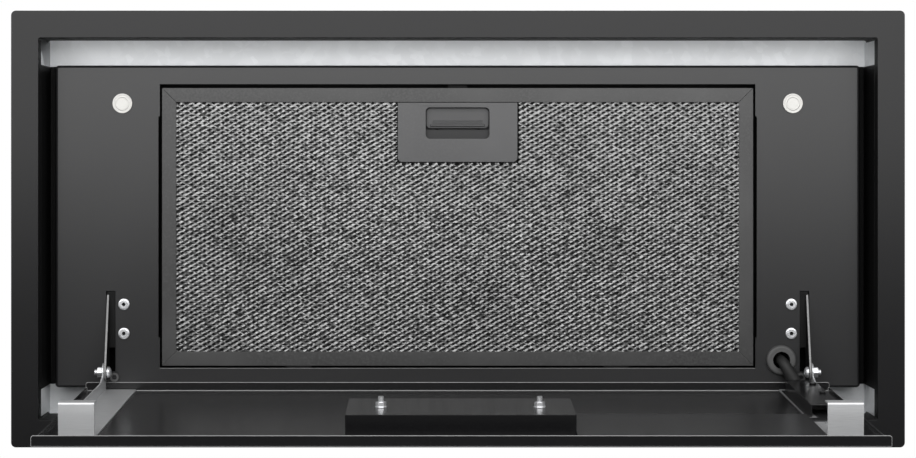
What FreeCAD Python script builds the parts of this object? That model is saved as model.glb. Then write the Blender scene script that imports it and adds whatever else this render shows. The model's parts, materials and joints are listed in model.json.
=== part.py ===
"""Built-in cooker hood insert with a swing-down flap, all sizes in millimetres.

+Z is up, +Y points to the wall and -Y to the cook. The origin is the middle of the
cabinet cut-out, on the plane where the flange meets the underside of the cabinet.
The flap is drawn closed and then swung down about its hinge, as it hangs at rest.
"""

import FreeCAD, Part
import math
import os

Vector = FreeCAD.Vector
ORIGIN = Vector(0, 0, 0)
AXIS_X = Vector(1, 0, 0)
AXIS_Y = Vector(0, 1, 0)
AXIS_Z = Vector(0, 0, 1)

# clearances
fit_gap = 0.05  # radial, a screw or pin in its hole
sheet_gap = 0.1  # between folded sheets that lie side by side
slip_gap = 0.3  # around a piece that drops or slides into its place
hinge_gap = 0.2  # between the faces that turn on the flap's hinge
stop_gap = 0.4  # from the open flap to the panel it stops against
catch_gap = 0.2  # from a closed catch to its magnet

# flange frame
flange_width = 720.0
flange_depth = 352.0
flange_border = 21.85
flange_sheet = 1.0
flange_corner = 4.0
opening_corner = 2.0
side_upstand = 13.5
end_upstand = 49.0

# casing
casing_sheet = 0.8
casing_height = 240.0
casing_lift = 3.0  # from the flange to the casing's lower edge, clear of the flange's fold
cabinet_screw_radius = 2.25
cabinet_screw_spacing = 180.0
cabinet_screw_height = 100.0

# plenum plate, with its neck around the filter
plenum_height = 61.5
plenum_rim = 12.0
neck_width = 452.0
neck_depth = 198.0
neck_seat_gap = 0.5

# inner panel
panel_height = 28.2
panel_sheet = 1.0
panel_width = 659.0
panel_front_border = 15.5
panel_rear_border = 16.0
panel_corner = 3.0
panel_notch = 1.2
panel_notch_length = 181.0

# grease filter
filter_width = 483.7
filter_depth = 227.3
filter_thick = 9.5
filter_shift = -0.75
filter_side_gap = 1.65
filter_front_gap = 3.0
filter_rear_gap = 1.8
rail_width = 11.7
rail_sheet = 1.0
mesh_sheet = 0.8
mesh_play = 0.6
core_sheet = 0.5
core_pitch = 12.0
core_play = 0.2
hook_width = 20.0
hook_offset = 130.0
hook_sheet = 1.0
hook_lift = 0.1
hook_reach = 4.3
hook_leg = 6.0
hook_bead_radius = 0.6

# handle and latch
handle_width = 98.0
handle_depth = 48.6
handle_sheet = 1.0
handle_corner = 3.5
recess_width = 52.0
recess_depth = 25.5
recess_corner = 3.5
recess_edge = 4.0
cup_wall = 1.0
cup_height = 7.4
latch_thick = 3.0
latch_depth = 16.6
latch_travel = 3.0
latch_ridge = 2.2
latch_ridge_width = 1.6
latch_bolt_width = 16.0
latch_bolt_thick = 2.6
latch_bolt_rise = 0.2
latch_bolt_grip = 0.7
latch_nose_flat = 0.3
shelf_sheet = 0.8
strike_width = 24.0
strike_depth = 8.0
spring_radius = 1.1
spring_wire = 0.3
spring_pitch = 1.3
spring_offset = 17.0
spring_pocket = 6.0

# hinge arms, their rivets and pivots
hinge_y = 117.0
hinge_z = 16.5
open_angle = 92.7
arm_sheet = 2.0
arm_end_radius = 7.0
arm_foot_width = 23.0
arm_foot_front = 52.0
arm_foot_rear = 98.0
arm_slot_width = 7.5
arm_slot_front = 51.7
arm_leg_front = 54.6
arm_slot_gap = 0.6
rivet_x = 272.9
rivet_front_y = 62.5
rivet_pitch = 23.8
rivet_head_radius = 4.7
rivet_head_height = 1.5
rivet_radius = 2.4
rivet_dimple_radius = 1.6
rivet_tail = 2.5
rivet_tail_radius = 3.4
rivet_head_round = 0.9
bolt_radius = 2.5
bolt_head_radius = 4.6
bolt_head_height = 3.0
bolt_head_round = 2.2
bolt_tail = 2.6
nut_width = 8.0
nut_height = 4.0

# magnets, stop buffers and grommet on the panel
magnet_x = 274.1
magnet_y = -101.8
magnet_radius = 8.0
magnet_proud = 1.5
magnet_stem_radius = 3.0
magnet_stem_tail = 3.0
buffer_x = 280.5
buffer_radius = 3.65
buffer_bore = 2.0
buffer_height = 3.0
grommet_x = 264.5
grommet_y = 108.0
grommet_radius = 12.15
grommet_bead = 4.4
grommet_neck_radius = 9.0
grommet_bore = 7.0
grommet_top_radius = 9.7
grommet_round = 2.2
grommet_tail = 2.2

# flap
flap_width = 608.0
flap_length = 260.0
flap_sheet = 1.0
flap_end_flange = 8.0
flap_side_lip = 3.5
flap_corner = 2.0
inner_plate_sheet = 0.8
inner_plate_gap = 1.0
inner_plate_setback = 15.6
inner_plate_front_gap = 1.0

# flap brackets with their catches
bracket_x = 288.5
bracket_width = 26.0
bracket_sheet = 1.4
bracket_wall = 10.0
bracket_tab_radius = 7.5
bracket_slope_start = 96.0
catch_depth = 12.0
catch_corner = 5.0
catch_fold = 1.5
bracket_rivet_radius = 2.2
bracket_rivet_height = 1.2
bracket_rivet_inset = 13.0
bracket_rivet_spacing = 20.0
bracket_rivet_count = 3

# control box on the flap
control_width = 166.6
control_depth = 77.5
control_height = 15.7
control_sheet = 1.0
control_front = -100.0
stud_spacing = 116.5
stud_setback = 35.0
stud_radius = 2.0
stud_proud = 8.0
stud_nut_width = 7.0
stud_nut_height = 3.2
stud_washer_radius = 4.5
stud_washer_height = 0.8
spacer_radius = 4.0
spacer_height = 4.0
board_width = 150.0
board_depth = 62.0
board_sheet = 1.6

# cable cover, lead cover and leads
cover_width = 23.2
cover_front = -17.3
cover_rear = 111.5
cover_sheet = 1.0
cover_foot = 2.7
cover_notch_width = 4.6
cover_screw_radius = 1.5
cover_screw_inset = 9.8
cover_screw_offset = 3.5
cover_screw_head = 2.6
cover_screw_height = 5.0
cover_screw_head_height = 1.6
lead_radius = 4.0
lead_play = 1.0
lead_cover_height = 2.5
lead_cover_sheet = 0.8
lead_cover_setback = 118.0
ribbon_width = 12.0
ribbon_sheet = 1.0
ribbon_setback = 9.0
ribbon_tail = 4.0
connector_length = 20.0
connector_width = 13.0
connector_height = 8.0
connector_rear = 32.0
sleeve_start = 112.0
sleeve_drop = 9.0
sleeve_end = 34.0
sleeve_bend = 6.0

# touch window and light guide in the flap's outer face
window_width = 140.0
window_depth = 20.0
window_front = -96.0
light_width = 400.0
light_depth = 18.0
light_front = 22.0

# blower
fan_y = -53.0
fan_z = 152.0
fan_radius = 65.0
fan_half_width = 55.0
fan_blade_count = 32
fan_blade_depth = 10.0
fan_blade_sheet = 1.2
fan_blade_tilt = 28.0
fan_blade_setback = 0.5
fan_ring = 2.0
fan_hub_sheet = 2.0
fan_hub_setback = 1.0
fan_boss_radius = 9.0
fan_boss_length = 8.0
shaft_radius = 4.0
shaft_tail = 10.0
shaft_setback = 1.0
scroll_start_radius = 76.0
scroll_step = 8.0
scroll_half_width = 60.0
scroll_wall = 2.0
scroll_inlet_radius = 52.0
scroll_tongue = 12.0
ear_width = 18.0
ear_thick = 4.0
motor_radius = 40.0
motor_gap = 7.0
motor_round = 3.5
spider_sheet = 2.0
spider_disc_radius = 24.0
spider_arm_width = 14.0
spider_reach = 62.0
spider_arms = 3
screw_radius = 2.0
screw_head_radius = 4.0
screw_head_height = 2.4
screw_grip = 7.0

# electrics above the plenum
module_x = 190.0
module_width = 110.0
module_front = 62.0
module_depth = 70.0
module_height = 40.0
module_wall = 2.0
module_lid = 2.5
gland_x = 150.0
gland_y = 100.0
gland_radius = 8.0
gland_bore = 4.2
gland_flange_radius = 12.0
gland_flange = 3.0
gland_nose = 14.0
gland_tail = 10.0
mains_radius = 4.0
mains_drop = 24.0
mains_bend = 12.0
motor_lead_radius = 3.2
motor_lead_inset = 17.5
motor_lead_run = 40.0
motor_lead_bend = 20.0
capacitor_x = -210.0
capacitor_y = 20.0
capacitor_radius = 17.5
capacitor_length = 60.0
clip_width = 16.0
clip_sheet = 1.2
clip_foot = 12.0

# duct collar and its non-return flaps
collar_radius = 74.75
collar_wall = 1.5
collar_height = 45.0
collar_flange_radius = 90.0
roof_screw_radius = 82.0
damper_height = 22.0
damper_sheet = 1.0
damper_radius = 72.0
damper_stop_width = 3.0
damper_stop_height = 1.4
damper_stop_gap = 0.1
damper_front_knuckle = 66.0
damper_rear_knuckle = 44.0
spindle_radius = 2.0
spindle_skin = 0.5  # of the collar's wall, left outside the spindle's seats
knuckle_radius = 3.2
knuckle_gap = 0.4
knuckle_length = 18.0

# places and sizes that follow from the values above
face_z = -flange_sheet
opening_x = flange_width / 2 - flange_border
opening_y = flange_depth / 2 - flange_border
casing_x = opening_x + flange_sheet + sheet_gap
casing_y = opening_y + flange_sheet + sheet_gap
roof_z = casing_height - casing_sheet
panel_x = panel_width / 2
panel_top = panel_height + panel_sheet
filter_x = filter_width / 2
filter_front = filter_shift - filter_depth / 2
filter_rear = filter_shift + filter_depth / 2
filter_top = panel_height + filter_thick
hole_x = filter_x + filter_side_gap
hole_front = filter_front - filter_front_gap
hole_rear = filter_rear + filter_rear_gap
panel_front = hole_front - panel_front_border
panel_rear = hole_rear + panel_rear_border
hook_z = panel_top + hook_lift + hook_sheet / 2
hook_y = hole_rear - hook_bead_radius + hook_lift
skin_top = face_z + flap_sheet
tilt = math.radians(open_angle - 90.0)
hinge_reach = hinge_z - face_z
flap_overhang = (panel_height - hinge_z - stop_gap - hinge_reach * math.sin(tilt)) / math.cos(tilt)
flap_rear = hinge_y + flap_overhang
flap_front = flap_rear - flap_length
plate_top = skin_top + inner_plate_sheet
arm_x = bracket_x - bracket_sheet - hinge_gap
tab_inner_x = bracket_x - bracket_sheet
bracket_inner_x = bracket_x - bracket_width
catch_top = panel_height - magnet_proud - catch_gap
catch_front = magnet_y - catch_depth / 2
bracket_base_top = skin_top + bracket_sheet
bracket_wall_top = skin_top + bracket_wall
control_top = plate_top + control_height
control_rear = control_front + control_depth
stud_y = control_front + stud_setback
recess_front = filter_front + rail_width + slip_gap + recess_edge
recess_rear = recess_front + recess_depth
cup_roof = panel_top + cup_height
latch_top = cup_roof - slip_gap
latch_z = latch_top - latch_thick
latch_front = recess_front + slip_gap
latch_rear = latch_front + latch_depth
bolt_low = latch_z + latch_bolt_rise
bolt_high = bolt_low + latch_bolt_thick
cover_notch_front = bracket_slope_start - sheet_gap
lead_x = grommet_x + cover_width / 2 - sheet_gap
outlet_front = fan_y + scroll_tongue
outlet_rear = fan_y + scroll_start_radius + 2 * scroll_step + scroll_step / 2
damper_z = casing_height + damper_height
spindle_end = collar_radius - spindle_skin


def box(x0, x1, y0, y1, z0, z1):
    """A block between two corners."""
    size = (abs(x1 - x0), abs(y1 - y0), abs(z1 - z0))
    return Part.makeBox(*size, Vector(min(x0, x1), min(y0, y1), min(z0, z1)))


def rod(radius, start, end):
    """A round bar from one point to another."""
    along = end - start
    return Part.makeCylinder(radius, along.Length, start, along)


def ring(outer, inner, start, end):
    """A round bar with a bore right through."""
    return rod(outer, start, end).cut(rod(inner, start, end))


def face_of(points):
    """A flat face inside a closed outline of straight runs."""
    return Part.Face(Part.makePolygon(points + [points[0]]))


def prism_x(outline, x0, x1):
    """An outline of (y, z) points, drawn out along X."""
    return face_of([Vector(x0, y, z) for y, z in outline]).extrude(Vector(x1 - x0, 0, 0))


def prism_z(outline, z0, z1):
    """An outline of (x, y) points, drawn out along Z."""
    return face_of([Vector(x, y, z0) for x, y in outline]).extrude(Vector(0, 0, z1 - z0))


def hexagon(width, start, height, along):
    """A six-sided prism, such as a nut, by its width across flats."""
    side = AXIS_Z if abs(along.z) < 0.5 else AXIS_X
    spoke = side * (width / math.sqrt(3))
    turns = [FreeCAD.Rotation(along, 60.0 * n).multVec(spoke) for n in range(6)]
    return face_of([start + turn for turn in turns]).extrude(along * height)


def edges_along(shape, axis, wanted):
    """The straight edges of a shape that run along an axis and pass a test on their middle."""
    found = []
    for edge in shape.Edges:
        if not isinstance(edge.Curve, Part.Line):
            continue
        along = edge.Vertexes[1].Point - edge.Vertexes[0].Point
        if along.Length > 0 and abs(along.normalize().dot(axis)) > 0.999:
            if wanted(edge.BoundBox.Center):
                found.append(edge)
    return found


def rounded(shape, axis, radius, wanted=lambda middle: True):
    """A shape whose chosen straight edges are rounded."""
    return shape.makeFillet(radius, edges_along(shape, axis, wanted))


def rounded_plate(x0, x1, y0, y1, z0, z1, radius):
    """A flat plate with four rounded corners."""
    return rounded(box(x0, x1, y0, y1, z0, z1), AXIS_Z, radius)


def mirrored(shape):
    """The same shape on the other side of the hood's middle."""
    return shape.mirror(ORIGIN, AXIS_X)


def opened(shape):
    """A piece of the closed flap, swung down to its open place."""
    turned = shape.copy()
    turned.rotate(Vector(0, hinge_y, hinge_z), AXIS_X, open_angle)
    return turned


def opened_point(point):
    """A point of the closed flap, at its open place."""
    arm = point - Vector(0, hinge_y, hinge_z)
    return FreeCAD.Rotation(AXIS_X, open_angle).multVec(arm) + Vector(0, hinge_y, hinge_z)


def tube_along(points, radius, bend):
    """A round lead along straight runs, joined by tangent arcs of one bend radius."""
    edges = []
    start = points[0]
    for before, corner, after in zip(points, points[1:], points[2:]):
        incoming = (corner - before).normalize()
        outgoing = (after - corner).normalize()
        half_turn = incoming.getAngle(outgoing) / 2
        trim = bend * math.tan(half_turn)
        arc_start = corner - incoming * trim
        arc_end = corner + outgoing * trim
        inward = (outgoing - incoming).normalize()
        arc_middle = corner + inward * (bend / math.cos(half_turn) - bend)
        edges.append(Part.LineSegment(start, arc_start).toShape())
        edges.append(Part.Arc(arc_start, arc_middle, arc_end).toShape())
        start = arc_end
    edges.append(Part.LineSegment(start, points[-1]).toShape())
    first = (points[1] - points[0]).normalize()
    section = Part.Wire(Part.Circle(points[0], first, radius).toShape())
    return Part.Wire(edges).makePipeShell([section], True, True)


def save(node, *shapes):
    """Writes the solids of one node."""
    solids = [solid for shape in shapes for solid in shape.Solids]
    whole = solids[0] if len(solids) == 1 else Part.makeCompound(solids)
    whole.exportStep(os.path.join("parts", node + ".step"))


def flange_frame():
    """The visible frame: a flat border with tall end upstands and low side upstands."""
    half_x = flange_width / 2
    half_y = flange_depth / 2
    border = rounded_plate(-half_x, half_x, -half_y, half_y, face_z, 0, flange_corner)
    wall_x = opening_x + flange_sheet
    wall_y = opening_y + flange_sheet
    walls = box(-wall_x, wall_x, -wall_y, wall_y, face_z, end_upstand)
    for side in (-1, 1):
        above = box(side * opening_x, side * wall_x, -opening_y, opening_y, side_upstand, end_upstand)
        walls = walls.cut(above)
    solid = border.fuse(walls)
    hole = rounded_plate(-opening_x, opening_x, -opening_y, opening_y, face_z, end_upstand, opening_corner)
    return solid.cut(hole).removeSplitter()


def cabinet_screw_holes(side):
    """The bores in one casing wall for the screws into the cabinet's side."""
    holes = []
    for step in (-0.5, 0.5):
        start = Vector(side * casing_x, step * cabinet_screw_spacing, cabinet_screw_height)
        holes.append(rod(cabinet_screw_radius, start, start + AXIS_X * (side * casing_sheet)))
    return Part.makeCompound(holes)


def roof_screw_points():
    """Where screws pass through the duct collar and the roof into the blower's ears."""
    reach = roof_screw_radius / math.sqrt(2)
    return [(sx * reach, sy * reach) for sx in (-1, 1) for sy in (-1, 1)]


def casing_roof():
    """The casing's top sheet, with the duct hole and the holes for screws and gland."""
    outer_x = casing_x + casing_sheet
    outer_y = casing_y + casing_sheet
    roof = box(-outer_x, outer_x, -outer_y, outer_y, roof_z, casing_height)
    rise = AXIS_Z * casing_sheet
    cuts = [rod(collar_radius - collar_wall, Vector(0, 0, roof_z), Vector(0, 0, casing_height))]
    for x, y in roof_screw_points():
        cuts.append(rod(screw_radius + fit_gap, Vector(x, y, roof_z), Vector(x, y, roof_z) + rise))
    gland_seat = Vector(gland_x, gland_y, roof_z)
    cuts.append(rod(gland_radius + fit_gap, gland_seat, gland_seat + rise))
    return roof.cut(Part.makeCompound(cuts))


def casing_shell():
    """The galvanised box above the flange: a roof and four walls, spot-welded edge to edge."""
    sheets = [casing_roof()]
    outer_x = casing_x + casing_sheet
    outer_y = casing_y + casing_sheet
    for side in (-1, 1):
        wall = box(side * casing_x, side * outer_x, -outer_y, outer_y, casing_lift, roof_z)
        sheets.append(wall.cut(cabinet_screw_holes(side)))
        sheets.append(box(-casing_x, casing_x, side * casing_y, side * outer_y, casing_lift, roof_z))
    return sheets


def plenum_plate():
    """The galvanised plate behind the panel, with a rim up and a neck down to the filter."""
    x = casing_x - sheet_gap
    y = casing_y - sheet_gap
    top = plenum_height + casing_sheet
    tray = box(-x, x, -y, y, plenum_height, plenum_height + plenum_rim)
    inside_x = x - casing_sheet
    inside_y = y - casing_sheet
    tray = tray.cut(box(-inside_x, inside_x, -inside_y, inside_y, top, plenum_height + plenum_rim))
    half_x = neck_width / 2
    front = filter_shift - neck_depth / 2
    rear = filter_shift + neck_depth / 2
    bottom = filter_top + neck_seat_gap
    neck_x = half_x + casing_sheet
    neck = box(-neck_x, neck_x, front - casing_sheet, rear + casing_sheet, bottom, top)
    solid = tray.fuse(neck).cut(box(-half_x, half_x, front, rear, bottom, top))
    lead_seat = Vector(grommet_x, grommet_y, plenum_height)
    lead_hole = rod(lead_radius + lead_play, lead_seat, lead_seat + AXIS_Z * casing_sheet)
    return solid.cut(lead_hole).removeSplitter()


def arm_slot(side):
    """The slot in the panel for one hinge arm."""
    outer = arm_x + arm_slot_gap
    rear = hinge_y + arm_slot_gap
    slot = box(outer - arm_slot_width, outer, arm_slot_front, rear, panel_height, panel_top)
    return slot if side > 0 else mirrored(slot)


def panel_hole(x, y, radius):
    """A round hole through the panel's face."""
    return rod(radius, Vector(x, y, panel_height), Vector(x, y, panel_top))


def panel_rivet_points():
    """The four rivets that hold the hinge arms."""
    rows = (rivet_front_y, rivet_front_y + rivet_pitch)
    return [(side * rivet_x, y) for side in (-1, 1) for y in rows]


def inner_panel():
    """The black panel: a shallow tray with a channel down each side of the casing."""
    tray = box(-panel_x, panel_x, panel_front, panel_rear, panel_height, plenum_height)
    tray = rounded(tray, AXIS_X, panel_corner, lambda middle: middle.z < panel_top)
    tray = rounded(tray, AXIS_Y, panel_corner, lambda middle: middle.z < panel_top)
    inside = box(
        -panel_x + panel_sheet,
        panel_x - panel_sheet,
        panel_front + panel_sheet,
        panel_rear - panel_sheet,
        panel_top,
        plenum_height,
    )
    solid = tray.cut(inside)
    wing_x = casing_x - sheet_gap
    wing_z = plenum_height - panel_sheet
    low = side_upstand + sheet_gap
    for side in (-1, 1):
        root = side * (panel_x - panel_sheet)
        wing = box(root, side * wing_x, panel_front, panel_rear, wing_z, plenum_height)
        wall = box(side * (wing_x - panel_sheet), side * wing_x, panel_front, panel_rear, low, plenum_height)
        solid = solid.fuse(wing).fuse(wall)
    half_notch = panel_notch_length / 2
    wide = hole_x + panel_notch
    cuts = [
        box(-hole_x, hole_x, hole_front, hole_rear, panel_height, panel_top),
        box(-wide, wide, filter_shift - half_notch, filter_shift + half_notch, panel_height, panel_top),
        arm_slot(-1),
        arm_slot(1),
        panel_hole(grommet_x, grommet_y, grommet_neck_radius + fit_gap),
    ]
    cuts += [panel_hole(x, y, rivet_radius + fit_gap) for x, y in panel_rivet_points()]
    cuts += [panel_hole(side * magnet_x, magnet_y, magnet_stem_radius + fit_gap) for side in (-1, 1)]
    return solid.cut(Part.makeCompound(cuts)).removeSplitter()


def latch_strike():
    """The block on the panel's inner face that the latch bolt rests over."""
    half = strike_width / 2
    return box(-half, half, hole_front - strike_depth, hole_front, panel_top, bolt_low - sheet_gap)


def tangent_point(outside, centre, radius):
    """Where a line from a (y, z) point touches the lower side of a circle."""
    dy = centre[0] - outside[0]
    dz = centre[1] - outside[1]
    distance = math.hypot(dy, dz)
    heading = math.atan2(dz, dy) - math.asin(radius / distance)
    reach = math.sqrt(distance * distance - radius * radius)
    return (outside[0] + reach * math.cos(heading), outside[1] + reach * math.sin(heading))


def hinge_arm():
    """The right hinge arm: a foot on the panel's inner face and a leg through the slot."""
    pivot = (hinge_y, hinge_z)
    top = panel_top + arm_sheet
    corner = (arm_leg_front, panel_height)
    touch = tangent_point(corner, pivot, arm_end_radius)
    outline = [(corner[0], top), corner, touch, pivot, (hinge_y, top)]
    leg = prism_x(outline, arm_x - arm_sheet, arm_x)
    leg = leg.fuse(rod(arm_end_radius, Vector(arm_x - arm_sheet, *pivot), Vector(arm_x, *pivot)))
    foot = box(arm_x - arm_foot_width, arm_x, arm_foot_front, arm_foot_rear, panel_top, top)
    solid = leg.fuse(foot)
    solid = solid.cut(rod(bolt_radius + fit_gap, Vector(arm_x - arm_sheet, *pivot), Vector(arm_x, *pivot)))
    for y in (rivet_front_y, rivet_front_y + rivet_pitch):
        solid = solid.cut(rod(rivet_radius + fit_gap, Vector(rivet_x, y, panel_top), Vector(rivet_x, y, top)))
    return solid.removeSplitter()


def rim_at(bar, centre):
    """The round edge of a bar whose middle lies at a point."""
    return [e for e in bar.Edges if e.Closed and (e.BoundBox.Center - centre).Length < fit_gap]


def hinge_rivets():
    """Blind rivets through the panel and the arms' feet."""
    top = panel_top + arm_sheet
    rivets = []
    for x, y in panel_rivet_points():
        low = Vector(x, y, panel_height - rivet_head_height)
        face = Vector(x, y, panel_height)
        head = rod(rivet_head_radius, low, face)
        head = head.makeFillet(rivet_head_round, rim_at(head, low))
        shank = rod(rivet_radius, face, Vector(x, y, top))
        tail = rod(rivet_tail_radius, Vector(x, y, top), Vector(x, y, top + rivet_tail))
        bore = rod(rivet_dimple_radius, low, Vector(x, y, top + rivet_tail / 2))
        rivets.append(head.fuse(shank).fuse(tail).cut(bore).removeSplitter())
    return rivets


def pivot_bolt(side):
    """A hinge bolt with its dome head towards the filter."""
    pivot = (hinge_y, hinge_z)
    head_end = arm_x - arm_sheet
    tail_end = bracket_x + hinge_gap + nut_height + bolt_tail
    shank = rod(bolt_radius, Vector(head_end, *pivot), Vector(tail_end, *pivot))
    head = rod(bolt_head_radius, Vector(head_end - bolt_head_height, *pivot), Vector(head_end, *pivot))
    head = head.makeFillet(bolt_head_round, rim_at(head, Vector(head_end - bolt_head_height, *pivot)))
    bolt = shank.fuse(head).removeSplitter()
    return bolt if side > 0 else mirrored(bolt)


def pivot_nut(side):
    """A hexagon nut on the outer end of a hinge bolt."""
    start = Vector(bracket_x + hinge_gap, hinge_y, hinge_z)
    nut = hexagon(nut_width, start, nut_height, AXIS_X)
    nut = nut.cut(rod(bolt_radius + fit_gap, start, start + AXIS_X * nut_height))
    return nut if side > 0 else mirrored(nut)


def catch_magnets():
    """Two pot magnets with their stems through the panel."""
    magnets = []
    for side in (-1, 1):
        x = side * magnet_x
        low = Vector(x, magnet_y, panel_height - magnet_proud)
        disc = rod(magnet_radius, low, Vector(x, magnet_y, panel_height))
        stem_end = panel_top + magnet_stem_tail
        stem = rod(magnet_stem_radius, Vector(x, magnet_y, panel_height), Vector(x, magnet_y, stem_end))
        magnets.append(disc.fuse(stem).removeSplitter())
    return magnets


def stop_buffers():
    """Rubber rings on the panel next to the pivots."""
    rings = []
    flange_tip = opened_point(Vector(0, flap_rear, face_z + flap_end_flange))
    y = flange_tip.y - slip_gap - buffer_radius
    for side in (-1, 1):
        low = Vector(side * buffer_x, y, panel_height - buffer_height)
        rings.append(ring(buffer_radius, buffer_bore, low, low + AXIS_Z * buffer_height))
    return rings


def cable_grommet():
    """The rubber grommet in the panel, with a bead on either face and a bore."""
    base = Vector(grommet_x, grommet_y, 0)
    low = panel_height - grommet_bead
    high = panel_top + grommet_tail
    below = rod(grommet_radius, base + AXIS_Z * low, base + AXIS_Z * panel_height)
    below = below.makeFillet(grommet_round, rim_at(below, base + AXIS_Z * low))
    neck = rod(grommet_neck_radius, base + AXIS_Z * panel_height, base + AXIS_Z * panel_top)
    above = rod(grommet_top_radius, base + AXIS_Z * panel_top, base + AXIS_Z * high)
    bore = rod(grommet_bore, base + AXIS_Z * low, base + AXIS_Z * high)
    return below.fuse(neck).fuse(above).cut(bore).removeSplitter()


def mitred_rail(length, turn, x, y):
    """A channel rail of the filter frame, turned and set with its web outwards."""
    half = length / 2
    inner = half - rail_width
    z0 = panel_height
    z1 = filter_top
    block = prism_z([(-half, 0), (half, 0), (inner, rail_width), (-inner, rail_width)], z0, z1)
    block = block.cut(box(-half, half, rail_sheet, rail_width, z0 + rail_sheet, z1 - rail_sheet))
    block.rotate(ORIGIN, AXIS_Z, turn)
    block.translate(Vector(x, y, 0))
    return block


def bolt_slot(y0, y1):
    """The room for the latch bolt in a wall that it passes."""
    half = latch_bolt_width / 2 + slip_gap
    return box(-half, half, y0, y1, bolt_low - slip_gap, bolt_high + slip_gap)


def filter_long_rails():
    """The front and rear rails, the front one slotted for the latch bolt."""
    front = mitred_rail(filter_width, 0, 0, filter_front)
    front = front.cut(bolt_slot(filter_front, filter_front + rail_sheet))
    return front, mitred_rail(filter_width, 180, 0, filter_rear)


def filter_short_rails():
    """The two side rails, mitred to the long ones."""
    left = mitred_rail(filter_depth, -90, -filter_x, filter_shift)
    return left, mitred_rail(filter_depth, 90, filter_x, filter_shift)


def mesh_outline_cut(z0, z1):
    """The space that the handle cup and latch take out of the mesh."""
    half = recess_width / 2 + cup_wall + slip_gap
    rear = recess_rear + cup_wall + slip_gap
    return box(-half, half, filter_front, rear, z0, z1)


def mesh_layer(z0, z1):
    """One flat layer of expanded mesh, held in the rails."""
    x = filter_x - rail_sheet - mesh_play
    y0 = filter_front + rail_sheet + mesh_play
    y1 = filter_rear - rail_sheet - mesh_play
    return box(-x, x, y0, y1, z0, z1).cut(mesh_outline_cut(z0, z1))


def mesh_core():
    """The folded layer between the two flat ones."""
    low = panel_top + mesh_sheet + core_play
    high = filter_top - rail_sheet - mesh_sheet - core_play
    x = filter_x - rail_sheet - mesh_play
    count = int(2 * x / core_pitch)
    start = -count * core_pitch / 2
    steps = range(2 * count + 1)
    lower = [(start + n * core_pitch / 2, low if n % 2 else high - core_sheet) for n in steps]
    outline = lower + [(px, pz + core_sheet) for px, pz in reversed(lower)]
    y0 = filter_front + rail_sheet + mesh_play
    y1 = filter_rear - rail_sheet - mesh_play
    face = face_of([Vector(px, y0, pz) for px, pz in outline])
    return face.extrude(Vector(0, y1 - y0, 0)).cut(mesh_outline_cut(low, high))


def filter_hooks():
    """Two angle hooks at the filter's rear, whose tongues lie on the panel's edge."""
    hooks = []
    z0 = hook_z - hook_sheet / 2
    z1 = hook_z + hook_sheet / 2
    for side in (-1, 1):
        x0 = side * hook_offset - hook_width / 2
        x1 = x0 + hook_width
        leg = box(x0, x1, filter_rear, filter_rear + hook_sheet, z0, z0 + hook_leg)
        tongue = box(x0, x1, filter_rear, hole_rear + hook_reach, z0, z1)
        bead = rod(hook_bead_radius, Vector(x0, hook_y, hook_z), Vector(x1, hook_y, hook_z))
        hooks.append(leg.fuse(tongue).fuse(bead).removeSplitter())
    return hooks


def recess_hole(z0, z1):
    """The finger opening, as a block to cut with."""
    half = recess_width / 2
    return rounded_plate(-half, half, recess_front, recess_rear, z0, z1, recess_corner)


def handle_plate():
    """The plate over the mesh, with the finger opening in it."""
    half = handle_width / 2
    front = filter_front + rail_width + slip_gap
    plate = box(-half, half, front, front + handle_depth, panel_height, panel_height + handle_sheet)
    middle = front + handle_depth / 2
    plate = rounded(plate, AXIS_Z, handle_corner, lambda point: point.y > middle)
    return plate.cut(recess_hole(panel_height, panel_height + handle_sheet))


def handle_cup():
    """The moulded cup behind the finger opening, with a shelf that hides the springs."""
    half = recess_width / 2 + cup_wall
    y0 = recess_front - cup_wall
    y1 = recess_rear + cup_wall
    base = panel_height + handle_sheet
    roof = cup_roof
    cup = box(-half, half, y0, y1, base, roof + cup_wall)
    cup = cup.cut(recess_hole(base, roof))
    shelf_front = latch_rear + latch_travel - latch_ridge_width
    shelf_z = latch_z - sheet_gap
    shelf_x = recess_width / 2 + cup_wall / 2
    shelf_rear = recess_rear + cup_wall / 2
    shelf = box(-shelf_x, shelf_x, shelf_front, shelf_rear, shelf_z - shelf_sheet, shelf_z)
    cup = cup.fuse(shelf).cut(bolt_slot(y0, recess_front))
    return cup.removeSplitter()


def latch_bolt():
    """The slide's bolt, with a nose bevelled on both sides so that it snaps past the strike."""
    root = latch_front + cup_wall
    tip = hole_front - latch_bolt_grip
    bevel_start = hole_front + sheet_gap
    middle = (bolt_low + bolt_high) / 2
    outline = [
        (root, bolt_low),
        (root, bolt_high),
        (bevel_start, bolt_high),
        (tip, middle + latch_nose_flat / 2),
        (tip, middle - latch_nose_flat / 2),
        (bevel_start, bolt_low),
    ]
    return prism_x(outline, -latch_bolt_width / 2, latch_bolt_width / 2)


def latch_slider():
    """The sprung slide: a plate in the cup, a ridge to pull and a bolt to the front."""
    half = recess_width / 2 - slip_gap
    slab = rounded_plate(-half, half, latch_front, latch_rear, latch_z, latch_top, recess_corner - slip_gap)
    ridge_rear = latch_rear - latch_ridge_width - sheet_gap
    ridge_front = ridge_rear - latch_ridge_width
    ridge_x = half - recess_corner
    ridge = box(-ridge_x, ridge_x, ridge_front, ridge_rear, latch_z - latch_ridge, latch_z)
    solid = slab.fuse(ridge).fuse(latch_bolt())
    middle_z = (latch_z + latch_top) / 2
    for side in (-1, 1):
        mouth = Vector(side * spring_offset, latch_rear, middle_z)
        solid = solid.cut(rod(spring_radius + slip_gap, mouth - AXIS_Y * spring_pocket, mouth))
    return solid.removeSplitter()


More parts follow.
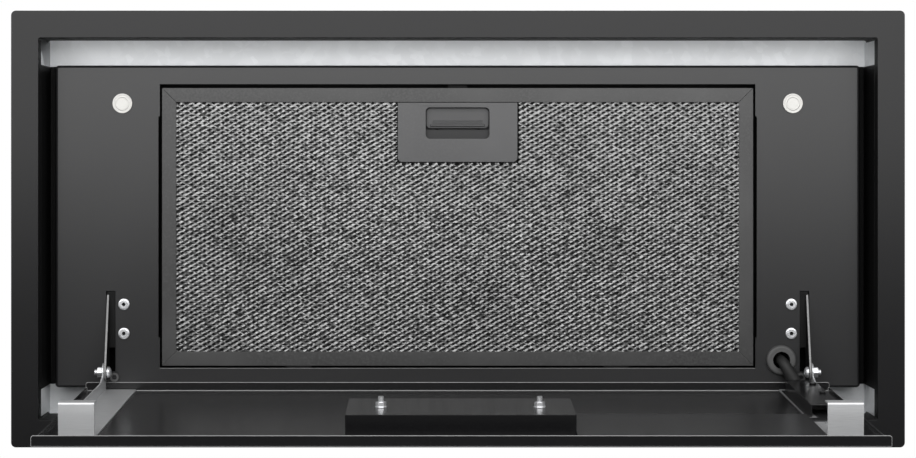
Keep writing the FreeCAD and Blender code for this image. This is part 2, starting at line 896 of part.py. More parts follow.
def latch_springs():
    """Two coil springs between the slide's pockets and the cup's rear wall."""
    middle_z = (latch_z + latch_top) / 2
    start_y = latch_rear - spring_pocket + slip_gap
    length = recess_rear - start_y - slip_gap
    turn_radius = spring_radius - spring_wire
    coils = []
    for side in (-1, 1):
        helix = Part.makeHelix(spring_pitch, length, turn_radius)
        path = Part.Wire(helix.Edges)
        section = Part.Wire(Part.Circle(Vector(turn_radius, 0, 0), AXIS_Y, spring_wire).toShape())
        coil = path.makePipeShell([section], True, True)
        coil.rotate(ORIGIN, AXIS_X, -90)
        coil.translate(Vector(side * spring_offset, start_y, middle_z))
        coils.append(coil)
    return coils


def flap_skin():
    """The flap's outer sheet with tall end flanges and low side lips, closed."""
    x = flap_width / 2
    front_flange = box(-x, x, flap_front, flap_front + flap_sheet, face_z, face_z + flap_end_flange)
    rear_flange = box(-x, x, flap_rear - flap_sheet, flap_rear, face_z, face_z + flap_end_flange)
    front_flange = rounded(front_flange, AXIS_Y, flap_corner, lambda middle: middle.z > skin_top)
    rear_flange = rounded(rear_flange, AXIS_Y, flap_corner, lambda middle: middle.z > skin_top)
    solid = box(-x, x, flap_front, flap_rear, face_z, skin_top).fuse(front_flange).fuse(rear_flange)
    lip_top = face_z + flap_side_lip
    for side in (-1, 1):
        lip = box(side * (x - flap_sheet), side * x, flap_front, flap_rear, face_z, lip_top)
        solid = solid.fuse(lip)
    solid = solid.cut(flat_cut(window_width, window_front, window_depth))
    return solid.cut(flat_cut(light_width, light_front, light_depth)).removeSplitter()


def flat_cut(width, front, depth):
    """A rectangular cut through the flap's skin."""
    return box(-width / 2, width / 2, front, front + depth, face_z, skin_top)


def flat_inset(width, front, depth):
    """A flat piece that sits flush in a cut through the flap's skin."""
    half = width / 2 - sheet_gap
    return box(-half, half, front + sheet_gap, front + depth - sheet_gap, face_z, skin_top)


def stud_points():
    """The two studs that hold the control box."""
    return [(side * stud_spacing / 2, stud_y) for side in (-1, 1)]


def flap_inner_plate():
    """The plate that lines the flap between its brackets."""
    x = bracket_inner_x - inner_plate_gap
    front = flap_front + flap_sheet + inner_plate_front_gap
    rear = flap_rear - flap_sheet - inner_plate_setback
    plate = box(-x, x, front, rear, skin_top, plate_top)
    for px, py in stud_points():
        plate = plate.cut(rod(stud_radius + fit_gap, Vector(px, py, skin_top), Vector(px, py, plate_top)))
    return plate


def bracket_rivet_points():
    """The rivets along one bracket, from its catch towards the hinge."""
    first = catch_front + catch_depth + bracket_rivet_spacing / 2
    x = bracket_inner_x + bracket_rivet_inset
    return [(x, first + n * bracket_rivet_spacing) for n in range(bracket_rivet_count)]


def flap_bracket():
    """The right galvanised bracket: base, side wall with the pivot tab, and the catch."""
    rear = hinge_y + bracket_tab_radius
    pivot = (hinge_y, hinge_z)
    base = box(bracket_inner_x, bracket_x, catch_front, rear, skin_top, bracket_base_top)
    outline = [
        (catch_front, skin_top),
        (rear, skin_top),
        (rear, hinge_z),
        pivot,
        (bracket_slope_start, bracket_wall_top),
        (catch_front, bracket_wall_top),
    ]
    wall = prism_x(outline, tab_inner_x, bracket_x)
    wall = wall.fuse(rod(bracket_tab_radius, Vector(tab_inner_x, *pivot), Vector(bracket_x, *pivot)))
    front_back = catch_front + bracket_sheet
    front = box(bracket_inner_x, bracket_x, catch_front, front_back, skin_top, catch_top)
    shelf_low = catch_top - bracket_sheet
    shelf = box(bracket_inner_x, bracket_x, catch_front, catch_front + catch_depth, shelf_low, catch_top)
    shelf = rounded(shelf, AXIS_Z, catch_corner, lambda middle: middle.x > magnet_x and middle.y > magnet_y)
    catch = front.fuse(shelf).removeSplitter()
    fold = Vector((bracket_inner_x + bracket_x) / 2, catch_front, catch_top)
    catch = rounded(catch, AXIS_X, catch_fold, lambda middle: (middle - fold).Length < fit_gap)
    solid = base.fuse(wall).fuse(catch)
    solid = solid.cut(rod(bolt_radius + fit_gap, Vector(tab_inner_x, *pivot), Vector(bracket_x, *pivot)))
    for x, y in bracket_rivet_points():
        seat = Vector(x, y, skin_top)
        solid = solid.cut(rod(bracket_rivet_radius + fit_gap, seat, seat + AXIS_Z * bracket_sheet))
    return solid.removeSplitter()


def bracket_rivets():
    """Rivets that stand on the skin and clamp the brackets down."""
    rivets = []
    for x, y in bracket_rivet_points():
        head_top = bracket_base_top + bracket_rivet_height
        shank = rod(bracket_rivet_radius, Vector(x, y, skin_top), Vector(x, y, bracket_base_top))
        head = rod(2 * bracket_rivet_radius, Vector(x, y, bracket_base_top), Vector(x, y, head_top))
        rivets.append(shank.fuse(head).removeSplitter())
    return rivets + [mirrored(rivet) for rivet in rivets]


def control_cover():
    """The sheet box over the control board, open towards the flap's skin."""
    x = control_width / 2
    cover = box(-x, x, control_front, control_rear, plate_top, control_top)
    inner = x - control_sheet
    inner_front = control_front + control_sheet
    inner_rear = control_rear - control_sheet
    inner_top = control_top - control_sheet
    cover = cover.cut(box(-inner, inner, inner_front, inner_rear, plate_top, inner_top))
    for px, py in stud_points():
        cover = cover.cut(rod(stud_radius + fit_gap, Vector(px, py, inner_top), Vector(px, py, control_top)))
    y0, y1 = ribbon_rows()
    slot = box(inner, x, y0 - slip_gap, y1 + slip_gap, plate_top, skin_top + lead_cover_height)
    return cover.cut(slot)


def control_studs():
    """Two studs welded to the skin, through the board's spacers and the cover."""
    top = control_top + stud_proud
    return [rod(stud_radius, Vector(x, y, skin_top), Vector(x, y, top)) for x, y in stud_points()]


def control_nuts():
    """A washer and a nut on each stud."""
    pieces = []
    for x, y in stud_points():
        seat = Vector(x, y, control_top)
        above = seat + AXIS_Z * stud_washer_height
        washer = rod(stud_washer_radius, seat, above)
        nut = hexagon(stud_nut_width, above, stud_nut_height, AXIS_Z)
        bore = rod(stud_radius + fit_gap, seat, above + AXIS_Z * stud_nut_height)
        pieces.append(washer.fuse(nut).cut(bore).removeSplitter())
    return pieces


def board_spacers():
    """A spacer under the control board at each stud."""
    top = plate_top + spacer_height
    places = [(Vector(x, y, plate_top), Vector(x, y, top)) for x, y in stud_points()]
    return [ring(spacer_radius, stud_radius + fit_gap, low, high) for low, high in places]


def control_board():
    """The printed circuit board of the touch control, on its spacers."""
    middle = (control_front + control_rear) / 2
    low = plate_top + spacer_height
    half = board_width / 2
    board = box(-half, half, middle - board_depth / 2, middle + board_depth / 2, low, low + board_sheet)
    for x, y in stud_points():
        board = board.cut(rod(stud_radius + fit_gap, Vector(x, y, low), Vector(x, y, low + board_sheet)))
    return board


def ribbon_rows():
    """Where the flat lead crosses the flap, from front to rear."""
    front = cover_front - ribbon_width - ribbon_setback
    return front, front + ribbon_width


def flap_ribbon():
    """The flat lead from the connector to the control box."""
    z0 = bracket_base_top + sheet_gap
    y0, y1 = ribbon_rows()
    start = control_width / 2 - control_sheet - ribbon_tail
    left = lead_x - ribbon_width / 2
    right = lead_x + ribbon_width / 2
    across = box(start, right, y0, y1, z0, z0 + ribbon_sheet)
    along = box(left, right, y0, connector_rear - connector_length, z0, z0 + ribbon_sheet)
    return across.fuse(along).removeSplitter()


def lead_cover_plate():
    """The low cover over the flat lead, from the control box to the right bracket."""
    z1 = skin_top + lead_cover_height + lead_cover_sheet
    x0 = control_width / 2 + slip_gap
    x1 = bracket_inner_x
    front = flap_front + flap_sheet + inner_plate_front_gap
    rear = front + lead_cover_setback - inner_plate_front_gap
    cover = box(x0, x1, front, rear, plate_top, z1)
    hollow = box(x0, x1, front + lead_cover_sheet, rear - lead_cover_sheet, plate_top, z1 - lead_cover_sheet)
    return cover.cut(hollow)


def lead_connector():
    """The plug connection inside the cable cover."""
    half = connector_width / 2
    z0 = bracket_base_top + sheet_gap
    front = connector_rear - connector_length
    return box(lead_x - half, lead_x + half, front, connector_rear, z0, z0 + connector_height)


def lead_centre_z():
    """The height of the round lead inside the cable cover."""
    return bracket_base_top + sheet_gap + lead_radius


def flap_lead():
    """The round lead inside the cable cover."""
    z = lead_centre_z()
    return rod(lead_radius, Vector(lead_x, connector_rear, z), Vector(lead_x, sleeve_start, z))


def hinge_sleeve():
    """The sleeved lead that bends across the hinge, from the grommet to the cover."""
    z = lead_centre_z()
    start = opened_point(Vector(lead_x, sleeve_start, z))
    start.z += lead_radius * math.sin(tilt) + sheet_gap
    turn = Vector(lead_x, start.y, panel_height - sleeve_drop)
    corner = Vector(grommet_x, grommet_y, turn.z)
    end = Vector(grommet_x, grommet_y, sleeve_end)
    return tube_along([start, turn, corner, end], lead_radius, sleeve_bend)


def cable_cover():
    """The long cover over the lead, on the right bracket's wall and base."""
    z0 = bracket_wall_top + sheet_gap
    x0 = bracket_x - cover_width
    top = box(x0, bracket_x, cover_front, cover_rear, z0, z0 + cover_sheet)
    low = bracket_base_top + sheet_gap
    side = box(x0, x0 + cover_sheet, cover_front, cover_rear, low, z0 + cover_sheet)
    foot = box(x0 - cover_foot, x0, cover_front, cover_rear, low, low + cover_sheet)
    notch = box(bracket_x - cover_notch_width, bracket_x, cover_notch_front, cover_rear, z0, z0 + cover_sheet)
    solid = top.fuse(side).fuse(foot).cut(notch)
    for x, y in cover_screw_points():
        solid = solid.cut(rod(cover_screw_radius + fit_gap, Vector(x, y, z0), Vector(x, y, z0 + cover_sheet)))
    return solid.removeSplitter()


def cover_screw_points():
    """Three small screws beside the cable cover's length."""
    x = bracket_x - bracket_sheet - cover_screw_offset
    first = cover_front + cover_screw_inset
    last = cover_notch_front - cover_screw_inset
    return [(x, y) for y in (first, (first + last) / 2, last)]


def cover_screws():
    """The screws with their heads on the cover."""
    screws = []
    seat = bracket_wall_top + sheet_gap + cover_sheet
    for x, y in cover_screw_points():
        head = rod(cover_screw_head, Vector(x, y, seat), Vector(x, y, seat + cover_screw_head_height))
        shank = rod(cover_screw_radius, Vector(x, y, seat - cover_screw_height), Vector(x, y, seat))
        screws.append(head.fuse(shank).removeSplitter())
    return screws


def scroll_outline(inset):
    """The blower's spiral in the Y-Z plane: four quarter arcs and a straight outlet."""
    half = scroll_step / 2
    edges = []
    radius = scroll_start_radius - inset
    begin = 90.0
    for turn_y, turn_z in ((-half, -half), (half, -half), (half, half)):
        cy = fan_y + turn_y
        cz = fan_z + turn_z
        points = []
        for part in (0.0, 45.0, 90.0):
            angle = math.radians(begin + part)
            points.append(Vector(0, cy + radius * math.cos(angle), cz + radius * math.sin(angle)))
        edges.append(Part.Arc(*points).toShape())
        begin += 90.0
        radius += scroll_step
    top_start = edges[0].firstVertex().Point
    last = edges[-1].lastVertex().Point
    tongue = Vector(0, outlet_front + inset, top_start.z)
    roof_near = Vector(0, tongue.y, roof_z)
    roof_far = Vector(0, last.y, roof_z)
    for a, b in ((last, roof_far), (roof_far, roof_near), (roof_near, tongue), (tongue, top_start)):
        edges.append(Part.LineSegment(a, b).toShape())
    return Part.Wire(Part.__sortEdges__(edges))


def scroll_half(side):
    """One half of the blower housing: a side plate with the inlet, and a wrap with two ears."""
    depth = side * (scroll_half_width - scroll_wall)
    profile = Part.Face(scroll_outline(0.0))
    wrap = profile.extrude(AXIS_X * depth)
    wrap = wrap.cut(Part.Face(scroll_outline(scroll_wall)).extrude(AXIS_X * depth))
    for x, y in roof_screw_points():
        if x * side > 0:
            wrap = wrap.fuse(scroll_ear(x, y))
    plate = profile.extrude(AXIS_X * (side * scroll_wall))
    plate.translate(AXIS_X * depth)
    centre = Vector(depth, fan_y, fan_z)
    plate = plate.cut(rod(scroll_inlet_radius, centre, centre + AXIS_X * (side * scroll_wall)))
    return plate, wrap.cut(plate).removeSplitter()


def scroll_ear(x, y):
    """A lug beside the housing's outlet, with a hole for a roof screw."""
    wall_y = outlet_rear - scroll_wall / 2 if y > 0 else outlet_front + scroll_wall / 2
    end_y = y + math.copysign(ear_width / 2, y)
    low = roof_z - ear_thick
    ear = box(x - ear_width / 2, x + ear_width / 2, wall_y, end_y, low, roof_z)
    return ear.cut(rod(screw_radius + fit_gap, Vector(x, y, low), Vector(x, y, roof_z)))


def screw_down(x, y, seat, grip):
    """A pan-head screw that points down from its seat."""
    head = rod(screw_head_radius, Vector(x, y, seat), Vector(x, y, seat + screw_head_height))
    shank = rod(screw_radius, Vector(x, y, seat - grip), Vector(x, y, seat))
    return head.fuse(shank).removeSplitter()


def impeller():
    """The double-inlet fan wheel: hub disc, blades and two end rings."""
    centre = Vector(0, fan_y, fan_z)
    hub_half = AXIS_X * (fan_hub_sheet / 2)
    inner = fan_radius - fan_blade_depth
    tip = fan_radius - fan_blade_setback
    reach = fan_half_width
    hub = rod(fan_radius - fan_hub_setback, centre - hub_half, centre + hub_half)
    boss = rod(fan_boss_radius, centre - AXIS_X * fan_boss_length, centre + hub_half)
    blades = []
    for n in range(fan_blade_count):
        blade = box(-reach, reach, inner, tip, -fan_blade_sheet / 2, fan_blade_sheet / 2)
        blade.rotate(Vector(0, fan_radius, 0), AXIS_X, fan_blade_tilt)
        blade.rotate(ORIGIN, AXIS_X, 360.0 * n / fan_blade_count)
        blade.translate(centre)
        blades.append(blade)
    rings = []
    for side in (-1, 1):
        start = centre + AXIS_X * (side * (reach - fan_ring))
        rings.append(ring(fan_radius, inner, start, centre + AXIS_X * (side * reach)))
    solid = hub.multiFuse(blades + rings + [boss])
    bore = rod(shaft_radius + fit_gap, centre - AXIS_X * reach, centre + AXIS_X * reach)
    return solid.cut(bore).removeSplitter()


def motor_shaft():
    """The shaft from the motor through the fan wheel's hub."""
    centre = Vector(0, fan_y, fan_z)
    end = scroll_half_width - shaft_setback
    return rod(shaft_radius, centre - AXIS_X * shaft_tail, centre + AXIS_X * end)


def motor_body():
    """The motor inside the fan wheel, with a bore for its shaft."""
    centre = Vector(0, fan_y, fan_z)
    start = centre + AXIS_X * motor_gap
    end = centre + AXIS_X * scroll_half_width
    body = rod(motor_radius, start, end)
    body = body.makeFillet(motor_round, rim_at(body, start))
    return body.cut(rod(shaft_radius + fit_gap, start, end))


def motor_spider():
    """The three-armed plate that carries the motor over the right inlet."""
    centre = Vector(scroll_half_width, fan_y, fan_z)
    solid = rod(spider_disc_radius, centre, centre + AXIS_X * spider_sheet)
    for n in range(spider_arms):
        arm = box(0, spider_sheet, 0, spider_reach, -spider_arm_width / 2, spider_arm_width / 2)
        arm.rotate(ORIGIN, AXIS_X, 90 + 360.0 * n / spider_arms)
        arm.translate(centre)
        solid = solid.fuse(arm)
    return solid.removeSplitter()


def duct_collar():
    """The collar that the duct slides over, with a stop ring for the damper flaps."""
    roof = Vector(0, 0, casing_height)
    top = roof + AXIS_Z * collar_height
    inner = collar_radius - collar_wall
    tube = ring(collar_radius, inner, roof, top)
    flange = ring(collar_flange_radius, inner, roof, roof + AXIS_Z * collar_wall)
    stop_top = damper_z - damper_sheet / 2 - damper_stop_gap
    stop_low = Vector(0, 0, stop_top - damper_stop_height)
    stop = ring(collar_radius, inner - damper_stop_width, stop_low, Vector(0, 0, stop_top))
    solid = tube.fuse(flange).fuse(stop)
    axis = Vector(0, 0, damper_z)
    seats = rod(spindle_radius + fit_gap, axis - AXIS_X * spindle_end, axis + AXIS_X * spindle_end)
    room = rod(knuckle_radius + knuckle_gap, axis - AXIS_X * inner, axis + AXIS_X * inner)
    solid = solid.cut(seats).cut(room)
    for x, y in roof_screw_points():
        seat = Vector(x, y, casing_height)
        solid = solid.cut(rod(screw_radius + fit_gap, seat, seat + AXIS_Z * collar_wall))
    return solid.removeSplitter()


def damper_spindle():
    """The rod across the collar that both damper flaps turn on."""
    axis = Vector(0, 0, damper_z)
    reach = AXIS_X * (spindle_end - fit_gap)
    return rod(spindle_radius, axis - reach, axis + reach)


def damper_flap(side, outer_knuckle):
    """A half-round non-return flap with two knuckles on the spindle."""
    low = damper_z - damper_sheet / 2
    high = damper_z + damper_sheet / 2
    disc = rod(damper_radius, Vector(0, 0, low), Vector(0, 0, high))
    root = knuckle_radius + knuckle_gap
    plate = disc.common(box(-damper_radius, damper_radius, side * root, side * damper_radius, low, high))
    for x0 in (-outer_knuckle, outer_knuckle - knuckle_length):
        x1 = x0 + knuckle_length
        start = Vector(x0, 0, damper_z)
        end = Vector(x1, 0, damper_z)
        plate = plate.fuse(box(x0, x1, 0, side * (root + damper_sheet), low, high))
        plate = plate.fuse(rod(knuckle_radius, start, end)).cut(rod(spindle_radius + fit_gap, start, end))
    return plate.removeSplitter()


def control_module():
    """The housing of the power electronics under the casing's roof, open downwards."""
    x1 = module_x + module_width
    y1 = module_front + module_depth
    z0 = roof_z - module_height
    solid = box(module_x, x1, module_front, y1, z0, roof_z)
    wall = module_wall
    return solid.cut(box(module_x + wall, x1 - wall, module_front + wall, y1 - wall, z0, roof_z - wall))


def module_cover():
    """The cover of the power electronics, with the lead's hole in it."""
    z1 = roof_z - module_height
    z0 = z1 - module_lid
    cover = box(module_x, module_x + module_width, module_front, module_front + module_depth, z0, z1)
    seat = Vector(grommet_x, grommet_y, z0)
    return cover.cut(rod(lead_radius + fit_gap, seat, seat + AXIS_Z * module_lid))


def inner_lead():
    """The flap's lead inside the casing, from the power electronics to the grommet."""
    top = roof_z - module_height + module_wall
    return rod(lead_radius, Vector(grommet_x, grommet_y, sleeve_end), Vector(grommet_x, grommet_y, top))


def mains_gland():
    """The inlet for the mains lead, clamped in the casing's roof."""
    low = Vector(gland_x, gland_y, roof_z - gland_tail)
    high = Vector(gland_x, gland_y, casing_height + gland_nose)
    nut_seat = Vector(gland_x, gland_y, roof_z - gland_flange)
    body = rod(gland_radius, low, high)
    flange = hexagon(2 * gland_flange_radius, Vector(gland_x, gland_y, casing_height), gland_flange, AXIS_Z)
    nut = hexagon(2 * gland_flange_radius, nut_seat, gland_flange, AXIS_Z)
    return body.fuse(flange).fuse(nut).cut(rod(gland_bore, low, high)).removeSplitter()


def mains_inner_lead():
    """The mains wiring inside the casing, from the gland to the power electronics."""
    top = Vector(gland_x, gland_y, roof_z - gland_tail)
    corner = Vector(gland_x, gland_y, roof_z - mains_drop)
    end = Vector(module_x, gland_y, corner.z)
    return tube_along([top, corner, end], mains_radius, mains_bend)


def motor_lead():
    """The wiring from the power electronics to the motor."""
    start = Vector(module_x, module_front + motor_lead_inset, roof_z - module_height / 2)
    end = Vector(scroll_half_width + spider_sheet, fan_y, fan_z)
    leave = start - AXIS_X * motor_lead_run
    arrive = end + AXIS_X * motor_lead_run
    return tube_along([start, leave, arrive, end], motor_lead_radius, motor_lead_bend)


def capacitor():
    """The motor's run capacitor, under the casing's roof."""
    z = roof_z - capacitor_radius - clip_sheet - sheet_gap
    start = Vector(capacitor_x - capacitor_length / 2, capacitor_y, z)
    return rod(capacitor_radius, start, start + AXIS_X * capacitor_length)


def capacitor_clip():
    """The strap that holds the capacitor to the roof."""
    z = roof_z - capacitor_radius - clip_sheet - sheet_gap
    half = clip_width / 2
    bore = capacitor_radius + sheet_gap
    outer = bore + clip_sheet
    start = Vector(capacitor_x - half, capacitor_y, z)
    end = Vector(capacitor_x + half, capacitor_y, z)
    band = ring(outer, bore, start, end)
    front = capacitor_y - outer - clip_foot
    rear = capacitor_y + outer + clip_foot
    feet = box(start.x, end.x, front, rear, roof_z - clip_sheet, roof_z)
    legs = []
    for side in (-1, 1):
        legs.append(box(start.x, end.x, capacitor_y + side * bore, capacitor_y + side * outer, z, roof_z))
    solid = band.multiFuse(legs + [feet])
    return solid.common(box(start.x, end.x, front, rear, z - outer, roof_z)).removeSplitter()


def build_frame_and_panel():
    """The fixed sheet-metal pieces and what is fastened to them."""
    arm = hinge_arm()
    save("flange_frame", flange_frame())
    save("casing_shell", *casing_shell())
    save("plenum_plate", plenum_plate())
    save("inner_panel", inner_panel())
    save("latch_strike", latch_strike())
    save("hinge_arm_right", arm)
    save("hinge_arm_left", mirrored(arm))
    save("hinge_rivets", *hinge_rivets())
    save("pivot_bolts", pivot_bolt(-1), pivot_bolt(1))
    save("pivot_nuts", pivot_nut(-1), pivot_nut(1))
    save("catch_magnets", *catch_magnets())
    save("stop_buffers", *stop_buffers())
    save("cable_grommet", cable_grommet())


def build_filter():
    """The grease filter with its handle and latch."""
    save("filter_long_rails", *filter_long_rails())
    save("filter_short_rails", *filter_short_rails())
    low = panel_height + rail_sheet
    high = filter_top - rail_sheet
    save("filter_mesh_front", mesh_layer(low, low + mesh_sheet))
    save("filter_mesh_core", mesh_core())
    save("filter_mesh_back", mesh_layer(high - mesh_sheet, high))
    save("filter_hooks", *filter_hooks())
    save("handle_plate", handle_plate())
    save("handle_cup", handle_cup())
    save("latch_slider", latch_slider())
    save("latch_springs", *latch_springs())


def build_flap():
    """The swing-down flap, drawn closed and saved open."""
    bracket = flap_bracket()
    pieces = {
        "flap_skin": [flap_skin()],
        "flap_inner_plate": [flap_inner_plate()],
        "touch_window": [flat_inset(window_width, window_front, window_depth)],
        "light_guide": [flat_inset(light_width, light_front, light_depth)],
        "flap_bracket_right": [bracket],
        "flap_bracket_left": [mirrored(bracket)],
        "bracket_rivets": bracket_rivets(),
        "control_cover": [control_cover()],
        "control_board": [control_board()],
        "board_spacers": board_spacers(),
        "control_studs": control_studs(),
        "control_nuts": control_nuts(),
        "flap_ribbon": [flap_ribbon()],
        "lead_cover_plate": [lead_cover_plate()],
        "lead_connector": [lead_connector()],
        "flap_lead": [flap_lead()],
        "cable_cover": [cable_cover()],
        "cover_screws": cover_screws(),
    }
    for node, shapes in pieces.items():
        save(node, *[opened(shape) for shape in shapes])
    save("hinge_sleeve", hinge_sleeve())


def build_blower():
    """The blower, its motor, the electrics and the duct collar."""
    save("scroll_left", *scroll_half(-1))
    save("scroll_right", *scroll_half(1))
    seat = casing_height + collar_wall
    save("roof_screws", *[screw_down(x, y, seat, screw_grip) for x, y in roof_screw_points()])
    save("impeller", impeller())
    save("motor_shaft", motor_shaft())
    save("motor_body", motor_body())
    save("motor_spider", motor_spider())
    save("duct_collar", duct_collar())
    save("damper_spindle", damper_spindle())
    save("damper_flap_front", damper_flap(-1, damper_front_knuckle))
    save("damper_flap_rear", damper_flap(1, damper_rear_knuckle))
    save("control_module", control_module())
    save("module_cover", module_cover())
    save("inner_lead", inner_lead())
    save("mains_gland", mains_gland())
    save("blower_leads", mains_inner_lead(), motor_lead())
    save("capacitor", capacitor())
    save("capacitor_clip", capacitor_clip())


os.makedirs("parts", exist_ok=True)
build_frame_and_panel()
build_filter()
build_flap()
build_blower()
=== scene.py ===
"""Looks, light and camera of a built-in range hood insert, seen from below with its flap open.

Sizes are in millimetres in the classes and in metres in Blender. +X is to the right of the
cook, +Y to the wall, +Z up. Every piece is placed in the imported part's own frame.
"""

import json
import logging
import math
from dataclasses import dataclass, field
from enum import Enum
from typing import Any, Callable

import bmesh
import bpy
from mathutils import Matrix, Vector


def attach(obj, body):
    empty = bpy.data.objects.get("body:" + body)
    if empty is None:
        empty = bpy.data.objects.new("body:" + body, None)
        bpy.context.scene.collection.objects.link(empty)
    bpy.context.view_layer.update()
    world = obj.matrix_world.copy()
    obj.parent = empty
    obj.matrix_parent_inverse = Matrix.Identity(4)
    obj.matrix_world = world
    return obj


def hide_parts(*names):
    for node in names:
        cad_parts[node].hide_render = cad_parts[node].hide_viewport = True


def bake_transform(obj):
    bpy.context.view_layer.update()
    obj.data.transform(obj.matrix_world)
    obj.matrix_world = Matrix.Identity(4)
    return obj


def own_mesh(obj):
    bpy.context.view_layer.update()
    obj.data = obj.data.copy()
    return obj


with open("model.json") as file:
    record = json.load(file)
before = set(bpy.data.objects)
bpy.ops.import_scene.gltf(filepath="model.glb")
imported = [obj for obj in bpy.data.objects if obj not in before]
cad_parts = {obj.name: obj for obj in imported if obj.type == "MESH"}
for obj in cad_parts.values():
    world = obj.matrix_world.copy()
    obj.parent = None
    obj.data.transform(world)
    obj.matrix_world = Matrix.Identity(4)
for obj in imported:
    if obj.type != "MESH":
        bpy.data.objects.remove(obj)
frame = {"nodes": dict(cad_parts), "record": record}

log = logging.getLogger("range_hood_insert")
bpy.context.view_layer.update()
Place = tuple[float, float, float]
FaceTest = Callable[[Vector, Vector], bool]

MM = 0.001
# Edges whose faces meet at more than SHARP_DEG are rounded. Faces within FLAT_DEG are one plane.
SHARP_DEG = 28.0
FLAT_DEG = 0.5
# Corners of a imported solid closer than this, in metres, are one corner.
MERGE_M = 2e-6
# A face looks along an axis if its normal has more than FACING on it. It stands along the axis
# if its normal has less than UPRIGHT on it.
FACING = 0.9
UPRIGHT = 0.3
# How far from a plane a face may lie and still count as in it, in millimetres.
NEAR = 0.1
# The broad patches of every finish: their width, their detail and the range that tints.
PATCH_MM = 70.0
PATCH_DETAIL = 3.0
TINT_FROM = (0.35, 1.05)
# The fine pattern: its detail, its roughness and the range that sets the gloss.
FINE_DETAIL = 2.0
FINE_ROUGHNESS = 0.55
GLOSS_FROM = (0.2, 0.8)
# Scale of the noise that bends the zinc's crystals, as a share of the crystals' own scale.
SPANGLE_WARP = 0.6
# How far brushed lines are stretched along X, as a share of their scale that is left there.
BRUSH_SQUEEZE = 0.04

SLOT_OF = {entry["node"]: entry["material_slot"] for entry in frame["record"]["subparts"]}
BODY_OF = {n: body for body, nodes in frame["record"]["behaviour"]["bodies"].items() for n in nodes}


class Side(Enum):
    """The two ends of the hood, as signs of X."""

    LEFT = -1
    RIGHT = 1


class Grain(Enum):
    """How a surface was made, which decides its pattern."""

    PEEL = "sprayed and baked powder, with fine orange peel"
    SPANGLE = "hot-dipped zinc, with crystal flowers"
    BRUSH = "rolled or drawn metal, with lines along X"
    MOULD = "moulded plastic or rubber, with an eroded texture"


def linear(colour: str) -> tuple[float, float, float, float]:
    """Turns an sRGB hex colour to the linear values that nodes take.

    Args:
        colour: The colour, such as "#8a8a8a".

    Returns:
        Red, green, blue and an alpha of 1.
    """
    parts = [int(colour[n : n + 2], 16) / 255 for n in (1, 3, 5)]
    red, green, blue = [c / 12.92 if c <= 0.04045 else ((c + 0.055) / 1.055) ** 2.4 for c in parts]
    return red, green, blue, 1.0


def add_node(
    tree: bpy.types.NodeTree, kind: str, inputs: dict[Any, Any], **settings: Any
) -> bpy.types.Node:
    """Adds one node with its settings, its values and its links.

    Args:
        tree: The node tree that it goes into.
        kind: The node's type.
        inputs: Socket name or number to a value, or to the socket that feeds it.
        **settings: The node's own properties.

    Returns:
        The new node.
    """
    node = tree.nodes.new(kind)
    for name, value in settings.items():
        setattr(node, name, value)
    for key, value in inputs.items():
        if isinstance(value, bpy.types.NodeSocket):
            tree.links.new(value, node.inputs[key])
        else:
            node.inputs[key].default_value = value
    return node


